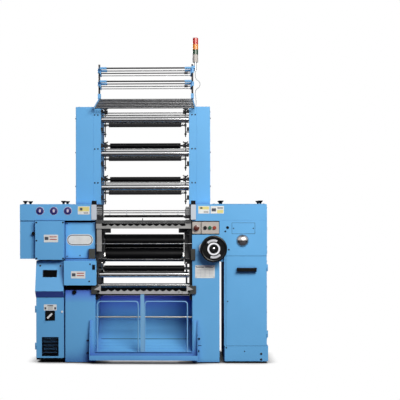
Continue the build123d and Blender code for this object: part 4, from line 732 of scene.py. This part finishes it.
# Rods of the slanted rack, and the bright ones among the creel rods above it
region("creel_rods", rack_steel, (-380, -110, 1790), (380, 150, 1900))
for level in (CREEL_UPPER, CREEL_LOWER):
    region("creel_rods", steel, (-340, 100, level - 36), (340, 180, level - 28.5))
region("creel_rods", steel, (-340, 100, CREEL_LOWER - 27), (270, 180, CREEL_LOWER - 17))
region("creel_rods", steel, (-340, 100, CREEL_UPPER - 0.5), (340, 180, CREEL_UPPER + 8.5))

# Blank signs: three round ones on the left head
rims = Piece("round_sign_rims", sign_rim)
discs = Piece("round_signs", sign_navy)
spots = Piece("round_sign_spots", sign_rim)
for x in (-726.5, -629.0, -531.0):
    rims.turned((x, BAND_FACE, 1065), FORWARD, [(29.0, 0), (29.0, 0.5), (28.5, 0.8)], 48)
    discs.turned((x, BAND_FACE - 0.8, 1065), FORWARD, [(27.0, -0.4), (27.0, 0.3), (26.6, 0.5)], 48)
    spots.plate(x - 8, x + 7, 1054, 1077, BAND_FACE - 1.6, 0.5, 7, 0.2)
for piece in (rims, discs, spots):
    piece.done()

# Blank sign plates on both heads, the gear cover and the service box, with fields, bars and stripes
signs = Piece("sign_plates", sign_white)
signs.sign(-461, -377, 1040, 1097, BAND_FACE)
signs.sign(382, 461, 1045, 1098, COLUMN_FACE)
signs.sign(468, 561, 1045, 1098, COLUMN_FACE)
signs.sign(-696, -596, 846, 899, GEAR_COVER_FACE)
signs.sign(-505, -405, 594, 645, SERVICE_FACE)
signs.done()
fields = Piece("sign_fields", sign_yellow)
fields.field(-457, -381, 1062, 1093, BAND_FACE, 2)
fields.field(386, 457, 1074, 1094, COLUMN_FACE, 2)
fields.field(514, 557, 1049, 1070, COLUMN_FACE, 2)
fields.done()
bars = Piece("sign_bars", sign_grey)
bars.field(-446, -428, 1068, 1086, BAND_FACE, lift=1.3)
bars.field(-420, -388, 1046, 1049, BAND_FACE)
bars.field(-420, -388, 1053, 1056, BAND_FACE)
bars.field(396, 412, 1078, 1090, COLUMN_FACE, lift=1.3)
bars.field(420, 452, 1058, 1061, COLUMN_FACE)
bars.field(420, 452, 1051, 1054, COLUMN_FACE)
bars.field(476, 506, 1060, 1082, COLUMN_FACE)
bars.field(516, 555, 1085, 1089, COLUMN_FACE)
bars.field(516, 555, 1077, 1081, COLUMN_FACE)
bars.field(-690, -664, 862, 884, GEAR_COVER_FACE)
bars.field(-499, -473, 609, 631, SERVICE_FACE)
bars.done()
stripes = Piece("sign_stripes", sign_red)
for z in (866, 884):
    stripes.field(-656, -606, z - 3.5, z + 3.5, GEAR_COVER_FACE)
for z in (614, 630):
    stripes.field(-465, -414, z - 3.5, z + 3.5, SERVICE_FACE)
stripes.done()

# Blank oval badge on the left front cover
BADGE_X, BADGE_Z = -449, 861
for name, material, wide, high, lift in (
    ("badge_back", sign_white, 186, 80, 1.2),
    ("badge_rim", sign_grey, 176, 70, 2.0),
    ("badge_face", sign_white, 167, 61, 2.8),
):
    badge = Piece(name, material)
    x_low, x_high = BADGE_X - wide / 2, BADGE_X + wide / 2
    z_low, z_high = BADGE_Z - high / 2, BADGE_Z + high / 2
    badge.plate(x_low, x_high, z_low, z_high, FRONT_COVER_FACE - lift, lift, high / 2 - 0.5, 0.5, 12)
    badge.done()

# Electrical side: display on the console's slope, blank sign and vent grille
# The slope's upper edge is at DESK_Y and DESK_Z, and it falls DESK_RISE over DESK_RUN
DESK_Y, DESK_Z = -266, 715
DESK_RISE, DESK_RUN = 210, 67
DISPLAY_X, DISPLAY_DOWN = -658, 94
SLOPE_SCREW_Z = 680
glass = Piece("display_glass", display)
slope = math.atan2(DESK_RISE, DESK_RUN)
slope_up = Vector((0, math.cos(slope), math.sin(slope)))
slope_out = Vector((0, -math.sin(slope), math.cos(slope)))
slope_place = Vector((DISPLAY_X, DESK_Y, DESK_Z)) - slope_up * DISPLAY_DOWN
glass.plate(-46, 46, -22, 22, -1.0, 1.5, 2.5, 0.4)
bezel = Piece("display_bezel", black_plastic)
bezel.border(-50, 50, -26, 26, 3.5, -1.5, 0.5)
for piece, sink in ((glass, -2.6), (bezel, 0.0)):
    for vertex in piece.mesh.verts:
        x, y, z = vertex.co
        vertex.co = slope_place + Vector((1, 0, 0)) * x + slope_up * z - slope_out * (y - sink)
glass.done()
bezel.done(bevel=0.4)

sign = Piece("door_sign", sign_white, "electrical_door")
sign.sign(-701, -611, 367, 409, COLUMN_FACE)
sign.done()
marks = Piece("door_sign_marks", sign_grey, "electrical_door")
marks.field(-696, -684, 374, 390, COLUMN_FACE)
marks.field(-628, -616, 374, 390, COLUMN_FACE)
marks.field(-676, -636, 396, 403, COLUMN_FACE)
marks.field(-674, -638, 375, 378, COLUMN_FACE, 1.2)
marks.field(-674, -638, 384, 387, COLUMN_FACE, 1.2)
marks.done()

grille = Piece("vent_grille", black_and_shadow, "electrical_door")
grille.border(-714, -598, 48, 180, 8, COLUMN_FACE - 2.5, COLUMN_FACE)
for index in range(16):
    z = 60 + 7.3 * index
    slat = [(COLUMN_FACE - 2.0, z), (COLUMN_FACE - 1.0, z + 5.0), (COLUMN_FACE, z + 5.0), (COLUMN_FACE, z)]
    grille.strip(-706, -606, slat)
grille.done(bevel=0.3)

# Screws in the covers, the slope, the right head, the right cabinet and the data plate
screws = Piece("cover_screws", dark_steel)
for x, z in ((-748, 984), (-562, 984), (-748, 733), (-562, 733), (-748, 858)):
    screws.screw(x, z, GEAR_COVER_FACE, 6.0, 3.0)
for x, z in ((-372, 694), (-378, 574)):
    screws.screw(x, z, SERVICE_FACE, 5.5, 3.0)
for x, z in ((-540, 975), (-350, 975), (-540, 745), (-449, 752)):
    screws.screw(x, z, FRONT_COVER_FACE, 4.0)
for x in (-728, -586):
    along = (DESK_Z - SLOPE_SCREW_Z) / math.sin(slope)
    place = Vector((x, DESK_Y, DESK_Z)) - slope_up * along
    profile = [(6.5, 0), (6.5, 1.6), (5.6, 2.6), (3.4, 2.8), (3.2, 1.4), (0.3, 1.3)]
    screws.turned(place, slope_out, profile, 18)
for x, z, radius in (
    (628, 942, 4.5),
    (766, 942, 4.5),
    (595.5, 792.6, 6.0),
    (704, 83.5, 4.0),
    (819.5, 65.5, 8.0),
    (819.5, 26.5, 8.0),
    (576.5, 108, 5.0),
    (586.6, 432, 4.5),
):
    screws.screw(x, z, COLUMN_FACE, radius, 3.0)
for x, z in ((366, 676), (491, 676), (366, 601), (491, 601)):
    screws.screw(x, z, COLUMN_FACE - 1.2, 2.6, 1.4)
screws.done()

# Dark caps and a slot on the right, a latch on the service box and two dark knobs at the left
PLUG = [(7, 0), (7, 1.5), (6, 3), (0.5, 3.2)]
holes = Piece("dark_caps", black_plastic)
for x, z, profile, steps in (
    (586.6, 947, [(10, 0), (10, 1.5), (8.5, 3), (3, 3.6), (0.5, 3.6)], 24),
    (571, 921, [(6, 0), (6, 1.5), (5, 2.4), (0.5, 2.6)], 20),
    (386.7, 169.4, PLUG, 20),
    (382.4, 84, PLUG, 20),
    (-486, 495, [(14, 0), (14, 10), (11, 13), (8, 13), (7, 10), (0.5, 10)], 32),
    (-771.5, 907, [(7, 0), (7, 6), (12, 8), (12, 18), (10, 20), (0.5, 20)], 28),
):
    holes.turned((x, COLUMN_FACE, z), FORWARD, profile, steps)
holes.plate(378, 404, 121, 125, COLUMN_FACE - 0.6, 0.6, 1.8, 0.2)
holes.plate(-356, -337, 656, 690, SERVICE_FACE - 4, 4, 2.0, 0.8)
holes.done()

# Bolts: two beside each feed set, one on each tower's outer side, and three on the right head's side
bolts = Piece("tower_bolts", dark_steel)
for side, outer in ((-1, -502.0), (1, 471.0)):
    for level in FEED_LEVELS:
        for x in (341, 364):
            bolts.bolt((side * x, TOWER_FACE, level + 33), FORWARD, 4.0, 4.0)
        bolts.bolt((outer, TOWER_FACE + 22, level + 8), (side, 0, 0), 4.5, 4.5)
for z in (944, 811, 770):
    bolts.bolt((860, -270, z), (1, 0, 0), 4.5, 2.6)
bolts.done()

# Data plate: blank fields ruled by thin lines
plate = Piece("data_plate", sign_white)
plate.plate(360, 497, 594, 684, COLUMN_FACE - 1.2, 1.2, 4, 0.4)
plate.done()
rules = Piece("data_plate_rules", sign_grey)
rules.field(368, 420, 668, 673, COLUMN_FACE, lift=1.5)
rules.field(430, 486, 668, 673, COLUMN_FACE, lift=1.5)
rules.done()
lines = Piece("data_plate_lines", sign_pale)
for index in range(6):
    lines.plate(368, 489, 604 + index * 10, 606 + index * 10, COLUMN_FACE - 1.4, 0.5, 0.8, 0.1)
for x in (398, 428, 458):
    lines.plate(x, x + 2, 604, 656, COLUMN_FACE - 1.4, 0.5, 0.8, 0.1)
lines.done()

# Handwheel: white ring, hub cap and two blank arcs on the web
ARC_NEAR, ARC_FAR, ARC_LIFT = 51, 66, 0.8
ARC_DEGREES, ARC_STEPS = 70, 14
ring = Piece("wheel_ring", wheel_white, "handwheel")
ring.washer((WHEEL_X, WHEEL_FACE, WHEEL_Z), FORWARD, 32, 44, 1.2, 64)
ring.done()
arcs = Piece("wheel_arcs", wheel_pale, "handwheel")
for start in (66, -112):
    rings = []
    for step in range(ARC_STEPS + 1):
        angle = math.radians(start + ARC_DEGREES * step / ARC_STEPS)
        across, rise = math.cos(angle), math.sin(angle)
        rings.append(
            arcs.ring(
                (WHEEL_X + reach * across, WHEEL_FACE - lift, WHEEL_Z + reach * rise)
                for reach, lift in ((ARC_NEAR, 0), (ARC_NEAR, ARC_LIFT), (ARC_FAR, ARC_LIFT), (ARC_FAR, 0))
            )
        )
    arcs.skin(rings)
arcs.done()
hub = Piece("wheel_hub_cap", chrome, "handwheel")
hub_profile = [(9, 0), (9, 0.8), (7.5, 1.6), (3, 1.9), (2.4, 1.0), (0.4, 0.9)]
hub.turned((WHEEL_X, WHEEL_FACE - 6, WHEEL_Z), FORWARD, hub_profile, 28)
hub.done()

# Fittings at the ends of the guide rods, the take-down rollers and the nip rollers
WING_NUT = [(5, 0), (11, 3), (11, 10), (8, 14), (4, 34), (3, 37), (0.4, 37.5)]
SPRING_NUT = [(4, 0), (4, 22), (6, 25), (6, 38), (4.5, 44), (0.4, 45)]
HEXAGON_NUT = [(5.5, 0), (5.5, 4), (4.5, 5), (0.3, 5)]
plates = Piece("guide_plates", zinc)
caps = Piece("guide_caps", chrome)
marks = Piece("guide_slots", dark_steel)
nuts = Piece("pressure_nuts", chrome)
arms = Piece("pressure_arms", steel)
for side in (-1, 1):
    near, far = span(side, 293, 329.5)
    plates.plate(near, far, 1036, 1094, GUIDE_FACE - 3, 3, 3, 0.6)
    for z in (1043, 1056, 1069, 1083):
        marks.plate(near - 0.5, far + 0.5, z - 2.5, z + 2.5, GUIDE_FACE - 5, 2.4, 1, 0.3)
    near, far = span(side, 280, 316)
    caps.plate(near, far, 1014, 1031, GUIDE_FACE - 6, 6, 7, 2.0)
    nuts.turned((side * 278, -238, 732), UPWARD, WING_NUT, 20)
    nuts.turned((side * 296, -236, 657), UPWARD, SPRING_NUT, 16)
    arms.tube([(side * 278, -232, 786), (side * 278, -232, 866)], 2.6)
    for z in (784, 862):
        near, far = span(side, 273, 283)
        arms.bar((near, -236, z), (far, -224, z + 5))
    near, far = span(side, 262, 321)
    arms.bar((near, -246, 724), (far, -226, 732))
    near, far = span(side, 286, 321)
    arms.bar((near, -244, 650), (far, -228, 657))
    for x, z in ((312, 925), (312, 897), (270, 770), (300, 812)):
        nuts.turned((side * x, -225, z), FORWARD, HEXAGON_NUT, 6)
for piece in (plates, caps, marks, nuts):
    piece.done()
arms.done(bevel=0.5)

# Comb bars: a black sheet of painted shadow along the shaded gap at the teeth, and the black beds behind and
# under the lower comb
TEETH, TOOTH_PITCH, TOOTH_STEPS = 12, 45, 24
shade_and_beds = Piece("comb_shadow_and_beds", black_and_shadow)
back, front = COMB_FACE - 0.1, COMB_FACE - 0.7
for top, tip, valley, half in ((978.6, 974.0, 958.5, 290), (521.0, 518.0, 503.0, 298)):
    outline = [(-half, tip)]
    for index in range(TEETH * TOOTH_STEPS + 1):
        x = TOOTH_PITCH * (index / TOOTH_STEPS - TEETH / 2)
        share = abs((x / TOOTH_PITCH + 0.5) % 1 - 0.5) * 2
        lift = 0.4 * share + 0.6 * (1 - math.sqrt(1 - 0.96 * share * share))
        outline.append((x, valley + (tip - valley) * lift))
    outline.append((half, tip))
    shade_and_beds.skin(
        [shade_and_beds.ring([(x, back, z), (x, front, z), (x, front, top), (x, back, top)]) for x, z in outline]
    )
shade_and_beds.plate(-318, 318, 500, 530, -285.5, 2.5, 1, 0.5)
shade_and_beds.plate(-318, 318, 472.5, 487, -287.5, 4.0, 1, 0.5)
shade_and_beds.done()

# Chute: a rolled bead at its upper fold, three fine ones on its lower slope and a lapped joint
CHUTE_HALF = 316
FOLD_Y, FOLD_Z = -70, 140
SLOPE_RUN, SLOPE_FALL = 170, 58
bead = Piece("chute_bead", bay_shade_paint)
bead.tube([(-CHUTE_HALF, 98, 262), (CHUTE_HALF, 98, 262)], 2.6)
for index in range(3):
    z = 92 + 14 * index
    y = FOLD_Y - (FOLD_Z - z) * SLOPE_RUN / SLOPE_FALL
    bead.tube([(-CHUTE_HALF, y, z + 0.4), (CHUTE_HALF, y, z + 0.4)], 0.9)
bead.done()
lap = Piece("chute_joint", dark_steel)
lap.strip(-CHUTE_HALF, CHUTE_HALF, [(-70, 140.2), (-66.5, 142.6), (-66.8, 143.4), (-70.3, 141.0)])
lap.done()

# The name plate's edge, black strips of painted shadow under the overhangs of the service box and the head's
# band, and hinge pins of the tray
edge = Piece("name_plate_edge", dark_steel)
edge.plate(616, 778, 903, 981, COLUMN_FACE - 0.4, 0.4, 4, 0.1)
edge.done()
shadow_strips = Piece("cover_shadow_strips", black_and_shadow)
shadow_strips.plate(-551, -340, 512, 546.5, COLUMN_FACE - 6, 6, 2, 1.0)
shadow_strips.plate(-551, -343, 986, 995, FRONT_COVER_FACE - 5, 5, 1.5, 0.8)
shadow_strips.done()
bits = Piece("tray_hinges", dark_steel)
for z in (157, 70):
    for x in (-384, -396):
        bits.turned((x, -292, z), FORWARD, [(5, 0), (5, 3), (3.5, 5), (0.4, 5)], 14)
bits.done()

# Removable covers on the backs, the sides and the tops, with their screws and louvres, the louvres' slits in
# black painted shade
COVER_THICK, COVER_GAP = 1.8, 1.5
SCREW_INSET, LOUVRE_PITCH = 12, 15
# Each: side, left, right, low, high, face, rows of screws, and (lowest louvre, count, left, right)
COVERS = (
    ("back", 353, 538, 40, 1060, -380, 6, (80, 8, 385, 506)),
    ("back", -516, -353, 40, 1060, -380, 6, (80, 8, -495, -374)),
    ("back", 332, 490, 1135, 1795, -280, 4, None),
    ("back", -459, -332, 1135, 1795, -280, 4, None),
    ("back", 570, 852, 745, 1095, -60, 3, (960, 7, 640, 782)),
    ("back", 573, 743, 60, 440, -60, 3, (90, 7, 600, 716)),
    ("back", 573, 743, 476, 700, -60, 2, None),
    ("back", -846, -582, 60, 722, -300, 4, (560, 8, -790, -638)),
    ("back", -846, -548, 772, 1095, -60, 3, (960, 7, -770, -622)),
    ("right", -262, 282, 160, 722, -860, 4, (190, 9, 60, 230)),
    ("right", -282, 42, 770, 1095, -860, 3, None),
    ("right", -2, 262, 1135, 1795, -471, 4, None),
    ("right", 76, 362, 770, 1095, -530, 3, None),
    ("left", -42, 282, 748, 1095, -868, 3, (960, 7, 60, 190)),
    ("left", -46, 258, 60, 440, -757, 3, (300, 7, 50, 170)),
    ("left", -262, 2, 1135, 1795, -502, 4, None),
    ("left", -364, -76, 40, 1095, -552, 6, None),
    ("top", -858, -512, -290, 50, -1111, 2, None),
    ("top", 481, 850, -290, 50, -1111, 2, None),
    ("top", 577, 846, 72, 288, -750, 2, None),
    ("top", -492, -352, -30, 262, -1818, 2, None),
)
covers = Piece("removable_covers", sky_paint)
gaps = Piece("cover_gaps", dark_steel)
fixings = Piece("cover_fixings", zinc)
slit_shadows = Piece("louvre_slit_shadows", black_plastic)
for side, x_low, x_high, z_low, z_high, y_face, rows, louvres in COVERS:
    for piece in (covers, gaps, fixings, slit_shadows):
        piece.face(side)
    outside = y_face - COVER_THICK
    gap_x, gap_z = (x_low - COVER_GAP, x_high + COVER_GAP), (z_low - COVER_GAP, z_high + COVER_GAP)
    gaps.plate(*gap_x, *gap_z, y_face - 0.3, 0.3, 7.5, 0.1)
    covers.plate(x_low, x_high, z_low, z_high, outside, COVER_THICK, 6, 1.0)
    for row in range(rows):
        z = z_low + SCREW_INSET + (z_high - z_low - 2 * SCREW_INSET) * row / (rows - 1)
        for x in (x_low + SCREW_INSET, x_high - SCREW_INSET):
            fixings.screw(x, z, outside, 5.0, 2.6)
    if louvres:
        low, count, left_end, right_end = louvres
        for index in range(count):
            z = low + LOUVRE_PITCH * index
            covers.louvre(left_end, right_end, z, outside + 0.1)
            # Black painted shade in the slit under each louvre's hood
            slit_shadows.plate(left_end + 4, right_end - 4, z - 2.4, z + 0.2, outside - 0.3, 0.5, 1.1, 0.1)
for piece in (covers, gaps, fixings, slit_shadows):
    piece.done()


# Stage: a white surround, a plain floor and soft lamps
def white_surround():
    """A white surround for the camera; in mirrors it is white behind and a dimmer hall in front."""
    world = bpy.data.worlds.new("surround")
    bpy.context.scene.world = world
    world.use_nodes = True
    tree = world.node_tree
    tree.nodes.clear()
    link = tree.links.new
    path = add_node(tree, "ShaderNodeLightPath")
    plain_seen = add_node(tree, "ShaderNodeMath", operation="MAXIMUM")
    link(path.outputs["Is Camera Ray"], plain_seen.inputs[0])
    link(path.outputs["Is Transmission Ray"], plain_seen.inputs[1])

    toward = add_node(tree, "ShaderNodeTexCoord")
    parts = add_node(tree, "ShaderNodeSeparateXYZ")
    link(toward.outputs["Generated"], parts.inputs[0])
    hall = ramp(
        tree,
        parts.outputs["Z"],
        [(0.0, grey(0.02)), (0.06, grey(0.08)), (0.2, grey(1.0)), (0.78, grey(1.0)), (0.92, grey(0.06))],
    )
    behind = add_node(tree, "ShaderNodeMapRange")
    behind.inputs["From Min"].default_value = -0.25
    behind.inputs["From Max"].default_value = 0.15
    link(parts.outputs["Y"], behind.inputs["Value"])
    mirrored = add_node(tree, "ShaderNodeMix", data_type="RGBA")
    link(behind.outputs["Result"], mirrored.inputs[MIX_FACTOR])
    link(hall, mirrored.inputs[MIX_ONE])
    mirrored.inputs[MIX_TWO].default_value = (0.12, 0.12, 0.13, 1)

    light = add_node(tree, "ShaderNodeBackground", Color=(0.68, 0.62, 1.0, 1), Strength=0.18)
    mirror = add_node(tree, "ShaderNodeBackground", Strength=1.0)
    link(mirrored.outputs[MIX_RESULT], mirror.inputs["Color"])
    plain = add_node(tree, "ShaderNodeBackground", Color=(1, 1, 1, 1), Strength=1.0)
    glossy_mix = add_node(tree, "ShaderNodeMixShader")
    link(path.outputs["Is Glossy Ray"], glossy_mix.inputs[0])
    link(light.outputs[0], glossy_mix.inputs[1])
    link(mirror.outputs[0], glossy_mix.inputs[2])
    plain_mix = add_node(tree, "ShaderNodeMixShader")
    link(plain_seen.outputs[0], plain_mix.inputs[0])
    link(glossy_mix.outputs[0], plain_mix.inputs[1])
    link(plain.outputs[0], plain_mix.inputs[2])
    out = add_node(tree, "ShaderNodeOutputWorld")
    link(plain_mix.outputs[0], out.inputs["Surface"])


def plain_floor():
    """A floor that the camera sees as white, but for a contact shadow close under the machine."""
    reach = 3.0
    mesh = bpy.data.meshes.new("floor")
    corners = [(x * reach, y * reach, 0) for x, y in ((-1, -1), (1, -1), (1, 1), (-1, 1))]
    mesh.from_pydata(corners, [], [(0, 1, 2, 3)])
    obj = bpy.data.objects.new("floor", mesh)
    bpy.context.scene.collection.objects.link(obj)
    material, tree, shader = blank("floor")
    tree.nodes.remove(shader)
    link = tree.links.new
    diffuse = add_node(tree, "ShaderNodeBsdfDiffuse", Color=(0.10, 0.10, 0.11, 1))
    white = add_node(tree, "ShaderNodeEmission", Color=(1, 1, 1, 1), Strength=1.0)
    path = add_node(tree, "ShaderNodeLightPath")
    near = add_node(tree, "ShaderNodeAmbientOcclusion", samples=8, Distance=0.12)
    amount = add_node(tree, "ShaderNodeMapRange")
    amount.inputs["From Min"].default_value = 0.30
    amount.inputs["From Max"].default_value = 0.85
    seen = add_node(tree, "ShaderNodeMath", operation="MULTIPLY")
    mix = add_node(tree, "ShaderNodeMixShader")
    link(near.outputs["AO"], amount.inputs["Value"])
    link(path.outputs["Is Camera Ray"], seen.inputs[0])
    link(amount.outputs["Result"], seen.inputs[1])
    link(seen.outputs[0], mix.inputs[0])
    link(diffuse.outputs[0], mix.inputs[1])
    link(white.outputs[0], mix.inputs[2])
    link(mix.outputs[0], tree.nodes["Material Output"].inputs["Surface"])
    mesh.materials.append(material)
    return obj


white_surround()
floor = plain_floor()


def soft_lamp(name, place, target, size, power, colour=(1, 1, 1)):
    """A rectangular soft lamp aimed at a point."""
    data = bpy.data.lights.new(name, "AREA")
    data.shape = "RECTANGLE"
    data.size, data.size_y = size
    data.energy = power
    data.color = colour
    obj = bpy.data.objects.new(name, data)
    bpy.context.scene.collection.objects.link(obj)
    obj.location = place
    obj.rotation_euler = (Vector(target) - Vector(place)).to_track_quat("-Z", "Y").to_euler()


soft_lamp("key_lamp", (2.15, -3.75, 3.4), (0.2, 0, 1.0), (2.4, 2.4), 220, (1.0, 0.98, 0.92))
soft_lamp("front_lamp", (1.3, -6.0, 4.4), (0.1, 0, 0.8), (2.0, 1.4), 105)
soft_lamp("top_lamp", (0.0, 0.6, 4.6), (0, 0, 1.0), (2.5, 1.5), 8)
soft_lamp("back_lamp", (-2.4, 5.2, 3.4), (0, 0, 0.9), (2.0, 2.0), 135)
bpy.context.scene.view_settings.view_transform = "Standard"
